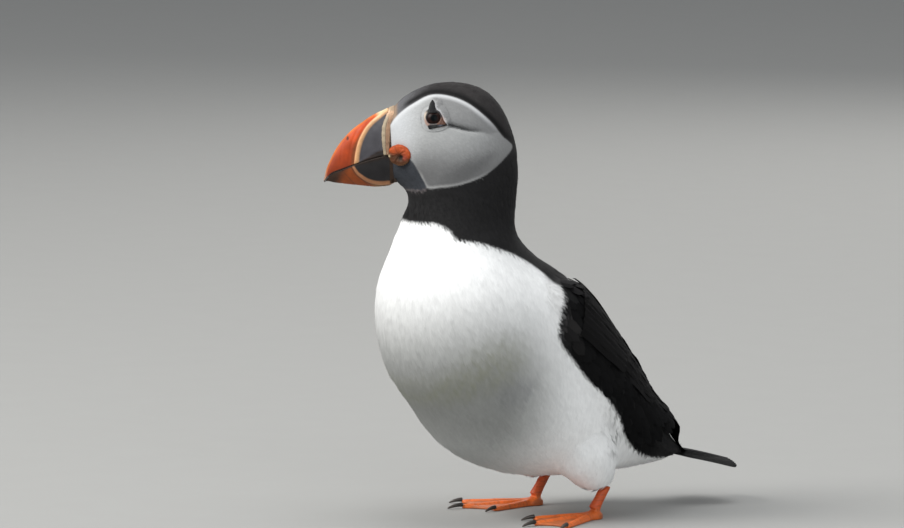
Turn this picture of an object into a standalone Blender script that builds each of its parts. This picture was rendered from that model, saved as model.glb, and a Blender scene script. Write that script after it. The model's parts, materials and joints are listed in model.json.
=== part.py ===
"""Atlantic puffin, a still life-size model standing on its own webbed feet.

Metres, +Z up. The trunk faces -Y and the bird's left side is +X. The head is turned to
the bird's right about an upright line through the neck. The origin is on the floor, under
the middle of the model's box.

Sizes are in millimetres. Along the body they are written (ahead, up) or (ahead, side, up),
with ahead counted toward the bill from the neck's upright line.
"""

import math

import bmesh
import bpy
import numpy as np
from mathutils import Matrix, Vector
from mathutils.bvhtree import BVHTree

MM = 0.001
GAP = 0.3  # clearance between neighbouring solids

NECK_BACK = -20.4  # where the neck's upright line stands
HEAD_TURN = -30.0  # degrees

# Outline of the plumage in its middle plane, from the bill's base to the tail's root:
# back point, breast point, half width, how far the widest level sits toward the breast,
# and the share of the head's turn
OUTLINE = (
    ((33.0, 192.6), (31.2, 158.2), 8.6, 0.10, 1.0),
    ((28.0, 197.2), (29.0, 156.2), 12.2, 0.16, 1.0),
    ((20.0, 201.8), (26.8, 154.8), 16.2, 0.18, 1.0),
    ((10.0, 204.7), (25.4, 153.0), 19.6, 0.18, 1.0),
    ((-2.0, 204.4), (24.8, 150.8), 21.6, 0.16, 1.0),
    ((-12.0, 200.6), (25.0, 148.2), 22.8, 0.12, 0.96),
    ((-18.8, 193.4), (26.2, 145.4), 23.6, 0.08, 0.88),
    ((-23.4, 184.0), (27.8, 142.2), 24.2, 0.04, 0.76),
    ((-26.9, 171.6), (29.8, 138.2), 24.8, 0.0, 0.60),
    ((-27.6, 159.4), (32.2, 132.8), 26.0, 0.0, 0.42),
    ((-26.0, 146.4), (35.0, 125.4), 28.6, 0.0, 0.25),
    ((-25.6, 134.8), (38.2, 115.8), 34.2, 0.0, 0.12),
    ((-35.6, 123.8), (40.8, 103.2), 40.6, 0.0, 0.04),
    ((-51.2, 114.2), (39.8, 86.4), 45.4, 0.02, 0.0),
    ((-61.4, 101.4), (33.6, 67.8), 47.6, 0.04, 0.0),
    ((-72.0, 87.6), (21.8, 51.4), 47.6, 0.06, 0.0),
    ((-83.6, 74.0), (9.6, 35.4), 45.6, 0.06, 0.0),
    ((-93.6, 60.6), (-8.6, 23.8), 41.6, 0.06, 0.0),
    ((-101.6, 48.8), (-31.0, 18.0), 35.6, 0.04, 0.0),
    ((-108.6, 38.6), (-55.0, 17.4), 28.0, 0.0, 0.0),
    ((-114.4, 31.6), (-78.0, 18.0), 20.0, 0.0, 0.0),
    ((-119.2, 27.0), (-98.0, 19.4), 13.0, 0.0, 0.0),
)
GIRTH_POINTS = 32
RINGS_PER_ROW = 2

# Planes that part the body, square to its middle plane: two points that the plane runs
# through, and the share of the head's turn that it takes
HEAD_NECK = ((26.0, 148.5), (-26.5, 170.0), 0.9)
NECK_TRUNK = ((26.6, 140.0), (-24.3, 119.4), 0.0)
TRUNK_RUMP = ((-8.6, 23.8), (-93.6, 60.6), 0.0)
BACK_BREAST = ((-28.4, 113.6), (-71.0, 52.0), 0.0)
RUMP_BELLY = ((-66.0, 46.0), (-111.3, 23.6), 0.0)

# The folded wing lies on the body as far as this row of the outline, and then on rows of
# its own that run straighter, out over the tail: back point, breast point, half width
WING_LEAVES_ROW = 17
WING_CARRIER = (
    ((-103.4, 50.4), (-31.0, 18.0), 36.6),
    ((-112.4, 41.6), (-55.0, 17.4), 31.0),
    ((-121.4, 34.6), (-78.0, 18.0), 25.0),
    ((-130.0, 28.6), (-98.0, 19.4), 18.0),
    ((-138.6, 24.4), (-118.0, 19.6), 11.4),
)
# Row of the outline, upper and lower edge in degrees round from the back, thickness
WING = (
    (12.7, 42.0, 56.0, 2.0),
    (13.1, 32.0, 66.0, 3.6),
    (13.7, 25.0, 72.0, 4.8),
    (14.6, 22.0, 75.0, 5.2),
    (15.6, 22.0, 76.0, 5.2),
    (16.6, 23.0, 77.0, 4.6),
    (17.4, 24.0, 77.0, 4.0),
    (18.2, 26.0, 76.0, 3.4),
)
PRIMARIES = (
    (18.24, 26.2, 76.0, 2.6),
    (19.2, 31.0, 74.0, 2.4),
    (20.1, 36.0, 72.0, 2.2),
    (21.0, 43.0, 68.0, 1.9),
    (21.7, 50.0, 63.0, 1.5),
)
WING_EDGE = 1.3  # thickness at the wing's edges
WING_ROUNDING = 0.6  # the lower, the fuller its section
WING_ROOT_DEPTH = 1.5  # how deep a wing reaches before the body is cut out of it
WING_POINTS = 9  # across the wing

# Tail: ahead, up, half width, thickness
TAIL = (
    (-107.0, 25.0, 10.0, 8.0),
    (-115.0, 23.4, 13.6, 6.0),
    (-124.0, 21.8, 16.8, 4.0),
    (-134.0, 20.2, 18.8, 2.8),
    (-141.0, 19.0, 18.0, 2.0),
    (-146.0, 18.2, 13.0, 1.4),
)
TAIL_POINTS = 16
TAIL_SQUARENESS = (0.7, 0.8)  # of its section, across and up; 1 is an ellipse

# Bill: the lines of its ridge, mouth and keel, at matching stations from the face to the
# tip. The cere is the upper bill's swollen base, as far as station 1.
CULMEN = ((32.6, 192.4), (35.4, 192.2), (43.3, 188.8), (51.8, 181.8), (57.8, 174.2),
          (62.3, 165.4), (64.2, 158.6))
MOUTH = ((33.8, 171.0), (36.2, 170.9), (43.0, 169.2), (50.0, 166.6), (55.6, 164.2),
         (60.4, 162.0), (64.0, 158.0))
GONYS = ((31.6, 158.0), (34.2, 156.2), (40.0, 155.6), (47.0, 156.2), (54.0, 156.9),
         (59.4, 157.6), (62.6, 158.4))
BILL_HALF_WIDTH = (7.9, 7.5, 6.2, 4.9, 3.7, 2.4, 0.9)
BILL_FLATNESS = 1.25  # of its sides; 1 is an ellipse
BILL_ROOT = -0.2  # station inside the face where the bill starts before it is cut
CERE_SWELL = 0.7
CERE_BULGE = 2.4  # its front edge bows forward at mid height
BILL_POINTS = 9  # from the mouth to the ridge

EYE_PLACE = (12.8, 17.0, 189.8)
EYE_RADIUS = 5.6
EYE_SUNK = 3.6  # the ball's centre is this far under the face
ROSETTE_PLACE = (28.6, 11.0, 171.6)  # the wrinkled skin at the corner of the mouth
ROSETTE_RADIUS = 4.6
ROSETTE_THICK = 1.5
ROSETTE_RAISED = 0.3

# Left leg and foot. Toes: angle from the foot's own heading in degrees, length, claw.
TOE_JOINT = (27.0, 35.0)  # to the side, back
FOOT_TURN_OUT = 9.0  # degrees
TOES = ((-27.0, 28.5, 5.5), (1.0, 36.5, 6.5), (28.0, 34.5, 5.5))
TOE_HEIGHT = 3.5
TOE_HALF_WIDTH = 1.9
TOE_TAPER = 0.35
WEB_THICK = 1.2
WEB_SCALLOP = 0.13  # its edge is hollow between the toes by this share
RIM_THICK = 0.7
PAD_RADIUS = 4.6
PAD_HEIGHT = 4.0
FOOT_RINGS = (0.13, 0.36, 0.62, 0.84, 1.0)
CLAW_RADIUS = 1.1
CLAW_UP = 1.9
TARSUS = ((35.4, 4.4, 2.9), (38.2, 9.0, 2.4), (42.0, 15.5, 2.6))  # back, up, radius
THIGH = (
    (27.0, 38.0, 16.0),
    (31.0, 30.0, 15.6),
    (35.6, 22.8, 12.6),
    (39.4, 17.6, 8.4),
    (41.0, 14.8, 4.6),
)

FINISHES = {  # colour, roughness
    "black_feathers": ((0.018, 0.017, 0.018), 0.6),
    "white_feathers": ((0.82, 0.82, 0.80), 0.7),
    "face_feathers": ((0.55, 0.55, 0.54), 0.7),
    "dusky_feathers": ((0.30, 0.29, 0.28), 0.7),
    "cere_horn": ((0.72, 0.55, 0.35), 0.45),
    "bill_horn": ((0.75, 0.17, 0.04), 0.35),
    "gape_skin": ((0.80, 0.20, 0.05), 0.5),
    "eye_ball": ((0.03, 0.02, 0.015), 0.08),
    "foot_skin": ((0.85, 0.22, 0.04), 0.5),
    "claw_horn": ((0.04, 0.035, 0.03), 0.4),
}
SIDES = (("left", 1), ("right", -1))


def turned(ahead, side, up, turn=0.0):
    """A point of the bird, turned by a share of the head's turn, in metres."""
    about = Matrix.Rotation(math.radians(HEAD_TURN) * turn, 3, "Z")
    return (about @ Vector((side, -ahead, up)) + Vector((0.0, NECK_BACK, 0.0))) * MM


def smooth(rows, t):
    """The value at t, counted in rows, on a smooth curve through equally spaced rows."""
    rows = np.asarray(rows, float)
    last = len(rows) - 1
    i = min(max(int(t), 0), last - 1)
    u = t - i
    before, start, end, after = rows[max(i - 1, 0)], rows[i], rows[i + 1], rows[min(i + 2, last)]
    bend = 2 * before - 5 * start + 4 * end - after
    twist = 3 * (start - end) + after - before
    return start + 0.5 * u * (end - before + u * (bend + u * twist))


def material(name):
    made = bpy.data.materials.get(name)
    if made is None:
        colour, roughness = FINISHES[name]
        made = bpy.data.materials.new(name)
        made.use_nodes = True
        shader = made.node_tree.nodes["Principled BSDF"]
        shader.inputs["Base Color"].default_value = (*colour, 1.0)
        shader.inputs["Roughness"].default_value = roughness
    return made


def add_solid(name, bm, finish):
    """A named object from a bmesh, which it uses up."""
    mesh = bpy.data.meshes.new(name)
    bm.to_mesh(mesh)
    bm.free()
    mesh.materials.append(material(finish))
    mesh.shade_smooth()
    mesh.set_sharp_from_angle(angle=math.radians(40))
    made = bpy.data.objects.new(name, mesh)
    bpy.data.collections["atlantic_puffin"].objects.link(made)
    return made


def closed_loft(rings):
    """A bmesh through rings of equal length, capped at both ends."""
    bm = bmesh.new()
    loops = [[bm.verts.new(point) for point in ring] for ring in rings]
    for near, far in zip(loops, loops[1:]):
        for i in range(len(near)):
            bm.faces.new((near[i - 1], near[i], far[i], far[i - 1]))
    bm.faces.new(loops[0])
    bm.faces.new(loops[-1])
    bmesh.ops.recalc_face_normals(bm, faces=bm.faces)
    return bm


def tube(name, points, radii, finish, sides):
    """A round tube of changing radius, from a bevelled curve; points in millimetres."""
    curve = bpy.data.curves.new(name, "CURVE")
    curve.dimensions = "3D"
    curve.bevel_depth = MM
    curve.bevel_resolution = sides // 2 - 2
    curve.use_fill_caps = True
    spline = curve.splines.new("POLY")
    spline.points.add(len(points) - 1)
    for knot, point, radius in zip(spline.points, points, radii):
        knot.co = (*(Vector(point) * MM), 1.0)
        knot.radius = radius
    holder = bpy.data.objects.new(name, curve)
    bpy.context.scene.collection.objects.link(holder)
    shape = bpy.data.meshes.new_from_object(
        holder.evaluated_get(bpy.context.evaluated_depsgraph_get()))
    bm = bmesh.new()
    bm.from_mesh(shape)
    bmesh.ops.remove_doubles(bm, verts=bm.verts, dist=0.01 * MM)
    bpy.data.meshes.remove(shape)
    bpy.data.objects.remove(holder)
    bpy.data.curves.remove(curve)
    return add_solid(name, bm, finish)


def grown_copy(source):
    """A cutter that stands evenly proud of the source by the gap."""
    bm = bmesh.new()
    bm.from_mesh(source.data)
    bm.normal_update()
    moves = [vert.normal * vert.calc_shell_factor() * GAP * MM for vert in bm.verts]
    for vert, move in zip(bm.verts, moves):
        vert.co += move
    mesh = bpy.data.meshes.new("cutter")
    bm.to_mesh(mesh)
    bm.free()
    cutter = bpy.data.objects.new("cutter", mesh)
    cutter.hide_render = True
    cutter.display_type = "WIRE"
    bpy.data.collections["cutters"].objects.link(cutter)
    return cutter


def carve(target, *neighbours):
    """Cut the target back so that it stays the gap clear of its neighbours."""
    for neighbour in neighbours:
        cutter = grown_copy(neighbour)
        cut = target.modifiers.new("clearance", "BOOLEAN")
        cut.operation = "DIFFERENCE"
        cut.solver = "EXACT"
        cut.object = cutter
        graph = bpy.context.evaluated_depsgraph_get()
        old, target.data = target.data, bpy.data.meshes.new_from_object(target.evaluated_get(graph))
        target.modifiers.remove(cut)
        bpy.data.meshes.remove(old)
        bpy.data.objects.remove(cutter)
    return target


BODY_ROWS = [(*back, *breast, *rest) for back, breast, *rest in OUTLINE]
CARRIER_ROWS = BODY_ROWS[:WING_LEAVES_ROW + 1] + [
    (*back, *breast, half, 0.0, 0.0) for back, breast, half in WING_CARRIER]


def girth_point(rows, t, angle, out=0.0):
    """A point round the body at row t; the angle runs from the back over the left side."""
    back_a, back_z, breast_a, breast_z, half, low, turn = smooth(rows, t)
    along = math.cos(angle)
    side = half * math.sin(angle) * (1 - low * along)
    reach_a, reach_z = (back_a - breast_a) / 2 * along, (back_z - breast_z) / 2 * along
    grown = 1 + out / math.hypot(reach_a, reach_z, side)
    return turned((back_a + breast_a) / 2 + reach_a * grown, side * grown,
                  (back_z + breast_z) / 2 + reach_z * grown, turn)


def whole_body():
    """All the plumage in one loft, before it is parted."""
    rings = []
    for i in range(RINGS_PER_ROW * (len(OUTLINE) - 1) + 1):
        rings.append([girth_point(BODY_ROWS, i / RINGS_PER_ROW, 2 * math.pi * k / GIRTH_POINTS)
                      for k in range(GIRTH_POINTS)])
    return add_solid("whole_body", closed_loft(rings), "white_feathers")


def body_piece(name, whole, planes, finish):
    """The part of the body on one side of each plane, short of it by half the gap."""
    bm = bmesh.new()
    bm.from_mesh(whole.data)
    for (first, second, turn), kept in planes:
        start = turned(first[0], 0.0, first[1], turn)
        along = turned(second[0], 0.0, second[1], turn) - start
        across = turned(0.0, 1.0, 0.0, turn) - turned(0.0, 0.0, 0.0, turn)
        outward = along.cross(across).normalized() * (1 if kept == "above" else -1)
        cut = bmesh.ops.bisect_plane(bm, geom=bm.verts[:] + bm.edges[:] + bm.faces[:],
                                     plane_co=start - outward * GAP / 2 * MM,
                                     plane_no=outward, clear_outer=True)
        rim = [part for part in cut["geom_cut"] if isinstance(part, bmesh.types.BMEdge)]
        bmesh.ops.contextual_create(bm, geom=rim)
    bmesh.ops.recalc_face_normals(bm, faces=bm.faces)
    return add_solid(name, bm, finish)


def build_body(whole):
    """Head, neck, trunk and rump, the last two parted into upper and lower."""
    head = body_piece("head", whole, [(HEAD_NECK, "above")], "face_feathers")
    body_piece("neck", whole, [(HEAD_NECK, "below"), (NECK_TRUNK, "above")], "black_feathers")
    trunk = [(NECK_TRUNK, "below"), (TRUNK_RUMP, "above")]
    body_piece("back", whole, trunk + [(BACK_BREAST, "above")], "black_feathers")
    body_piece("breast", whole, trunk + [(BACK_BREAST, "below")], "white_feathers")
    rump = [(TRUNK_RUMP, "below")]
    body_piece("rump", whole, rump + [(RUMP_BELLY, "above")], "black_feathers")
    body_piece("belly", whole, rump + [(RUMP_BELLY, "below")], "white_feathers")
    return head


def bill_ring(t, keel_line, swell=0.0, bulge=0.0):
    """A ring round one half of the bill at station t, from the mouth over its keel."""
    keel = smooth(keel_line, t)
    mouth = smooth(MOUTH, t) - (0.0, GAP if keel_line is GONYS else 0.0)
    half = float(smooth(BILL_HALF_WIDTH, t)) + swell
    keel = keel + (keel - mouth) * swell / np.linalg.norm(keel - mouth)
    ring = []
    for i in range(-BILL_POINTS, BILL_POINTS + 1):
        angle = math.pi / 2 * i / BILL_POINTS
        toward_mouth = 1 - math.cos(angle)
        side = math.copysign(half * abs(math.sin(angle)) ** BILL_FLATNESS, angle)
        ahead, up = keel + (mouth - keel) * toward_mouth
        ring.append(turned(ahead + bulge * math.sin(math.pi * toward_mouth), side, up, 1.0))
    return ring


def build_bill(whole):
    front, tip = 1.0, len(CULMEN) - 1.0
    rings = [bill_ring(t, CULMEN, CERE_SWELL, CERE_BULGE * t) for t in (BILL_ROOT, 0.4, 0.93)]
    cere = carve(add_solid("cere", closed_loft(rings), "cere_horn"), whole)
    rings = [bill_ring(t, CULMEN, 0.0, CERE_BULGE * max(0.0, 1.5 - 0.5 * t))
             for t in np.linspace(front, tip, 11)]
    upper = carve(add_solid("bill_upper", closed_loft(rings), "bill_horn"), cere)
    rings = [bill_ring(t, GONYS) for t in np.linspace(BILL_ROOT, tip, 12)]
    lower = carve(add_solid("bill_lower", closed_loft(rings), "bill_horn"), whole, cere)
    return cere, upper, lower


def ball(name, head_shape, place, side, radius, thick, raised, finish, segments, rings):
    """A ball set on the head's surface near a place, flattened along the surface's normal."""
    ahead, across, up = place
    spot, normal, _face, _far = head_shape.find_nearest(turned(ahead, side * across, up, 1.0))
    stand = normal.to_track_quat("Z", "Y").to_matrix().to_4x4()
    flat = Matrix.Diagonal((1.0, 1.0, thick / radius, 1.0))
    bm = bmesh.new()
    bmesh.ops.create_uvsphere(bm, u_segments=segments, v_segments=rings, radius=radius * MM)
    bmesh.ops.transform(bm, verts=bm.verts,
                        matrix=Matrix.Translation(spot + normal * raised * MM) @ stand @ flat)
    return add_solid(name, bm, finish)


def build_face(head, bill):
    """Eyes in their sockets, and the rosettes at the corners of the mouth."""
    shape = BVHTree.FromObject(head, bpy.context.evaluated_depsgraph_get())
    for name, side in SIDES:
        eye = ball(f"eye_{name}", shape, EYE_PLACE, side, EYE_RADIUS, EYE_RADIUS, -EYE_SUNK,
                   "eye_ball", 14, 8)
        rosette = ball(f"gape_{name}", shape, ROSETTE_PLACE, side, ROSETTE_RADIUS,
                       ROSETTE_THICK, ROSETTE_RAISED, "gape_skin", 14, 6)
        carve(rosette, *bill)
        carve(head, eye, rosette)


def build_tail(whole):
    rings = []
    for t in np.linspace(0, len(TAIL) - 1, 2 * len(TAIL) - 1):
        ahead, up, half, thick = smooth(TAIL, t)
        ring = []
        for k in range(TAIL_POINTS):
            angle = 2 * math.pi * k / TAIL_POINTS
            across, rise = (math.copysign(abs(value) ** power, value) for value, power in
                            zip((math.cos(angle), math.sin(angle)), TAIL_SQUARENESS))
            ring.append(turned(ahead, half * across, up + thick / 2 * rise))
        rings.append(ring)
    return carve(add_solid("tail", closed_loft(rings), "black_feathers"), whole)


def wing_piece(name, stations, side, root_depth, *neighbours):
    """Part of a folded wing: a shell over the body, thick in the middle, thin at its edges."""
    rings = []
    bow = np.sin(np.linspace(0, math.pi, WING_POINTS)) ** WING_ROUNDING
    for u in np.linspace(0, len(stations) - 1, 2 * len(stations) - 1):
        t, top, low, thick = smooth(stations, u)
        angles = side * np.radians(np.linspace(top, low, WING_POINTS))
        heights = WING_EDGE + (thick - WING_EDGE) * bow
        rings.append([girth_point(CARRIER_ROWS, t, a, h) for a, h in zip(angles, heights)]
                     + [girth_point(CARRIER_ROWS, t, a, -root_depth) for a in angles[::-1]])
    return carve(add_solid(name, closed_loft(rings), "black_feathers"), *neighbours)


def foot_reach(angle):
    """How far the foot reaches from the toes' joint, by the angle from its heading."""
    for near, far in zip(TOES, TOES[1:]):
        if near[0] <= angle <= far[0]:
            share = (angle - near[0]) / (far[0] - near[0])
            hollow = WEB_SCALLOP * math.sin(math.pi * share) ** 0.7
            return (near[1] + (far[1] - near[1]) * share) * (1 - hollow)
    edge = TOES[0] if angle < TOES[0][0] else TOES[-1]
    off = math.radians(abs(angle - edge[0]))
    beside = TOE_HALF_WIDTH / math.sin(off) if off < math.pi / 2 else 0.0
    return max(PAD_RADIUS, min(edge[1], beside))


def foot_height(reach, angle):
    """Height of the foot's upper side: toes, the web between them, and the joint's pad."""
    heights = [RIM_THICK, WEB_THICK if TOES[0][0] <= angle <= TOES[-1][0] else 0.0]
    heights.append(PAD_HEIGHT * math.sqrt(max(0.0, 1 - (0.8 * reach / PAD_RADIUS) ** 2)))
    for toe_angle, length, _claw in TOES:
        off = math.radians(angle - toe_angle)
        along, across = reach * math.cos(off), reach * math.sin(off)
        if along > 0:
            crown = TOE_HEIGHT * (1 - TOE_TAPER * along / length)
            heights.append(crown * math.sqrt(max(0.0, 1 - (across / TOE_HALF_WIDTH) ** 2)))
    return max(heights)


def foot_angles():
    """Directions in which the foot's outline needs a point, all the way round."""
    angles = []
    for toe_angle, length, _claw in TOES:
        edge = math.degrees(math.asin(TOE_HALF_WIDTH / length))
        angles += [toe_angle + k * edge for k in (-1.5, -0.9, 0.0, 0.9, 1.5)]
    for near, far in zip(TOES, TOES[1:]):
        angles += [near[0] + (far[0] - near[0]) * share for share in (1 / 3, 1 / 2, 2 / 3)]
    for off in (6.5, 11.0, 22.0, 45.0, 80.0, 115.0):
        angles += [TOES[0][0] - off, TOES[-1][0] + off]
    return sorted(angles + [TOES[-1][0] + 150.0])


def foot_point(side, reach, angle, up):
    heading = math.radians(angle + FOOT_TURN_OUT)
    return Vector((side * (TOE_JOINT[0] + reach * math.sin(heading)),
                   TOE_JOINT[1] - reach * math.cos(heading), up))


def build_foot(name, side):
    """A webbed foot on a flat sole, with its three claws just off the toes' ends."""
    bm = bmesh.new()

    def vertex(reach, angle, up):
        return bm.verts.new(foot_point(side, reach, angle, up) * MM)

    angles = foot_angles()
    loops = []
    for share in FOOT_RINGS:
        loops.append([vertex(share * foot_reach(a), a, foot_height(share * foot_reach(a), a))
                      for a in angles])
    loops.append([vertex(foot_reach(a), a, 0.0) for a in angles])
    crown = vertex(0.0, 0.0, PAD_HEIGHT)
    for i in range(len(angles)):
        bm.faces.new((crown, loops[0][i - 1], loops[0][i]))
        for near, far in zip(loops, loops[1:]):
            bm.faces.new((near[i - 1], far[i - 1], far[i], near[i]))
    bm.faces.new(loops[-1])
    bmesh.ops.recalc_face_normals(bm, faces=bm.faces)
    foot = add_solid(f"foot_{name}", bm, "foot_skin")

    for number, (angle, length, claw) in enumerate(TOES, 1):
        shares = (0.0, 0.3, 0.6, 0.85, 1.0)
        radii = [0.3 + (CLAW_RADIUS - 0.3) * (1 - share) ** 0.7 for share in shares]
        points = [foot_point(side, length + GAP + claw * share, angle,
                             max(CLAW_UP - 1.5 * share ** 2, radius))
                  for share, radius in zip(shares, radii)]
        tube(f"claw_{name}_{number}", points, radii, "claw_horn", 8)
    return foot


def build_leg(name, side, whole):
    foot = build_foot(name, side)
    thigh, leg = (
        tube(f"{part}_{name}", [(side * TOE_JOINT[0], back, up) for back, up, _radius in path],
             [radius for _back, _up, radius in path], finish, sides)
        for part, path, finish, sides in (("thigh", THIGH, "dusky_feathers", 16),
                                          ("leg", TARSUS, "foot_skin", 10)))
    carve(leg, thigh, foot)
    carve(thigh, whole)


def stand_on_origin(objects):
    """Move the finished solids so that the middle of their box's floor is the origin."""
    corners = np.array([vert.co for made in objects for vert in made.data.vertices])
    low, high = corners.min(axis=0), corners.max(axis=0)
    shift = Matrix.Translation((-(low[0] + high[0]) / 2, -(low[1] + high[1]) / 2, -low[2]))
    for made in objects:
        made.data.transform(shift)


def build():
    for old in list(bpy.data.objects):
        bpy.data.objects.remove(old)
    for name in ("atlantic_puffin", "cutters"):
        bpy.context.scene.collection.children.link(bpy.data.collections.new(name))
    whole = whole_body()
    head = build_body(whole)
    bill = build_bill(whole)
    build_face(head, bill)
    tail = build_tail(whole)
    for name, side in SIDES:
        wing_piece(f"wing_{name}", WING, side, WING_ROOT_DEPTH, whole)
        wing_piece(f"primaries_{name}", PRIMARIES, side, 0.0, whole, tail)
        build_leg(name, side, whole)
    bpy.data.objects.remove(whole)
    stand_on_origin(bpy.data.collections["atlantic_puffin"].objects)


build()
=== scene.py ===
# %% [markdown]
# # An Atlantic puffin in its breeding dress
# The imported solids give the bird's true outline out to the feather tips. This lesson dresses
# them: one unbroken skin a little inside the outline, then plumage laid over it in tufts and
# vanes, then the bill, eyes and feet, each in its own finish. Loading the solids first means
# that every later piece can take its place from them.

# %% Load the solids
import json
import math

import bmesh
import bpy
import numpy as np
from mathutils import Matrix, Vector
from mathutils.bvhtree import BVHTree

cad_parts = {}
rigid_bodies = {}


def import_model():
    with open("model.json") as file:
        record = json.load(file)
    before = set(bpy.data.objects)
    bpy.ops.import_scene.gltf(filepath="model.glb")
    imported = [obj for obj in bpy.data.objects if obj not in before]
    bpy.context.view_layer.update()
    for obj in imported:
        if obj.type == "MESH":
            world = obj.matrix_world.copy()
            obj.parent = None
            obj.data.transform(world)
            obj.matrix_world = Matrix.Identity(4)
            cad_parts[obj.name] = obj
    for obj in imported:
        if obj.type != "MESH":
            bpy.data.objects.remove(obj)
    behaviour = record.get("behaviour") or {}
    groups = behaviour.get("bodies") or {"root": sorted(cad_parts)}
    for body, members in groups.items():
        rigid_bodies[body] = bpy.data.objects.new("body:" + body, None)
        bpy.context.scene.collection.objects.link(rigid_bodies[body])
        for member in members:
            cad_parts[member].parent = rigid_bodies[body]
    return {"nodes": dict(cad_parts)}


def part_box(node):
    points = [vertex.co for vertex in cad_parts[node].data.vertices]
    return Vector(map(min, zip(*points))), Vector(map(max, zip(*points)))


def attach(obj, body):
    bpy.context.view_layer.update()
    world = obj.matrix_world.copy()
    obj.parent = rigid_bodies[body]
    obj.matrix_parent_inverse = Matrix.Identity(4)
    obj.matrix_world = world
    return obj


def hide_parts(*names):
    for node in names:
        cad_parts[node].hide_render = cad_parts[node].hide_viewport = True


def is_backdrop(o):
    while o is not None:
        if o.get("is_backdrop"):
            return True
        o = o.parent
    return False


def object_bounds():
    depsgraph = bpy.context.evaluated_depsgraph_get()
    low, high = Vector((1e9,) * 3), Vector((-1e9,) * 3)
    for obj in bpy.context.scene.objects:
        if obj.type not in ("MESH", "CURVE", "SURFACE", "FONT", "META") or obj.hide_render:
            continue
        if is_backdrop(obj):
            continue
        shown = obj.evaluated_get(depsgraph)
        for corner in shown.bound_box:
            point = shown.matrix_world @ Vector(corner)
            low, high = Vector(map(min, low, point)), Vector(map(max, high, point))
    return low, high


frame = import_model()
solid_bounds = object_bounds()
MM = 0.001
UP = Vector((0.0, 0.0, 1.0))
SIDES = (("left", 1), ("right", -1))
print("solids:", len(frame["nodes"]), "height mm:", round(solid_bounds[1].z / MM, 1))

# %% [markdown]
# A puffin on its burrow's doorstep looks about with its head turned from its trunk. So the
# head has axes of its own: ahead toward the bill, aside toward its left, and up. They are
# found from the two eyes rather than typed in, so they stay true if the head is turned again.

# %% The head's own axes
EYE_AHEAD = 12.8 * MM  # of the upright line through the neck


def middle(node_name):
    low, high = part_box(node_name)
    return (low + high) / 2


EYES = {name: middle(f"eye_{name}") for name, _side in SIDES}
ASIDE = (EYES["left"] - EYES["right"]).normalized()
AHEAD = ASIDE.cross(UP)
NECK = (EYES["left"] + EYES["right"]) / 2 - AHEAD * EYE_AHEAD
NECK.z = 0.0
HEAD_AXES = np.array((AHEAD, ASIDE, UP))


def in_head(points):
    """Points as millimetres ahead, aside and up in the head's axes."""
    return (np.asarray(points) - np.array(NECK)) @ HEAD_AXES.T / MM


def in_trunk(points):
    """Points as millimetres ahead, aside and up in the trunk's axes, which aren't turned."""
    x, y, z = (np.asarray(points) - np.array(NECK)).T / MM
    return np.stack((-y, x, z), axis=1)


def to_world(places):
    """World places of rows of ahead, aside and up in head millimetres."""
    return np.array(NECK) + places @ HEAD_AXES * MM


print("head turned by degrees:", round(math.degrees(math.atan2(ASIDE.y, ASIDE.x)), 1))

# %% [markdown]
# The bird is seen from its left and a little above, through a long lens that keeps its
# proportions. The view is as wide as the scene round it, so it is wider than the bird, and
# the aim is a spot beside the breast.

# %% Camera
VIEW_AZIMUTH = math.radians(60.0)
VIEW_ELEVATION = math.radians(6.0)
VIEW_DISTANCE = 3.2
VIEW_WIDTH = 0.4213  # m, at the bird
AIM_ACROSS = -22.37 * MM
AIM_UP = 117.9 * MM
TRUNK_MIDDLE = Vector((0.0, NECK.y + 20.4 * MM, 0.0))

toward_camera = Vector((math.sin(VIEW_AZIMUTH) * math.cos(VIEW_ELEVATION),
                        -math.cos(VIEW_AZIMUTH) * math.cos(VIEW_ELEVATION),
                        math.sin(VIEW_ELEVATION)))
camera_right = Vector((math.cos(VIEW_AZIMUTH), math.sin(VIEW_AZIMUTH), 0.0))
camera_up = toward_camera.cross(camera_right)
aim = TRUNK_MIDDLE + camera_right * AIM_ACROSS + camera_up * AIM_UP
camera = bpy.data.objects.new("camera", bpy.data.cameras.new("camera"))
camera.data.lens = camera.data.sensor_width * VIEW_DISTANCE / VIEW_WIDTH
camera.location = aim + toward_camera * VIEW_DISTANCE
camera.rotation_euler = toward_camera.to_track_quat("Z", "Y").to_euler()
bpy.context.scene.collection.objects.link(camera)
bpy.context.scene.camera = camera
print("lens mm:", round(camera.data.lens, 1))

# %% [markdown]
# White feathers only show against something darker than themselves, and black ones only
# against something lighter. A plain pale grey floor that runs out of view does both.
# Large soft lamps stand in for an overcast sky with a brighter side.

# %% Studio
FLOOR_SIZE = 40.0
FLOOR_COLOUR = (0.33, 0.33, 0.32, 1.0)
FLOOR_SPECKLE = 40.0
FLOOR_DARKER = 0.97
LAMPS = (  # name, place, size, watts, colour
    ("key", (-0.55, -2.1, 1.9), 1.5, 78.0, (1.0, 0.985, 0.96)),
    ("fill", (2.4, -0.9, 1.1), 2.2, 20.0, (0.95, 0.98, 1.0)),
    ("top", (0.3, 0.2, 2.4), 2.0, 26.0, (1.0, 1.0, 1.0)),
    ("rim", (-1.4, 1.5, 1.2), 1.4, 13.0, (1.0, 0.98, 0.95)),
)
LAMP_AIM = TRUNK_MIDDLE + UP * 0.1
SKY_COLOUR = (0.93, 0.96, 1.0, 1.0)
SKY_STRENGTH = 0.42


def material_with(name, roughness, specular, coat=0.0, coat_roughness=0.03):
    """A new material, its node tree and its shader's inputs."""
    made = bpy.data.materials.new(name)
    made.use_nodes = True
    inputs = made.node_tree.nodes["Principled BSDF"].inputs
    inputs["Roughness"].default_value = roughness
    inputs["Specular IOR Level"].default_value = specular
    inputs["Coat Weight"].default_value = coat
    inputs["Coat Roughness"].default_value = coat_roughness
    return made, made.node_tree, inputs


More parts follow.
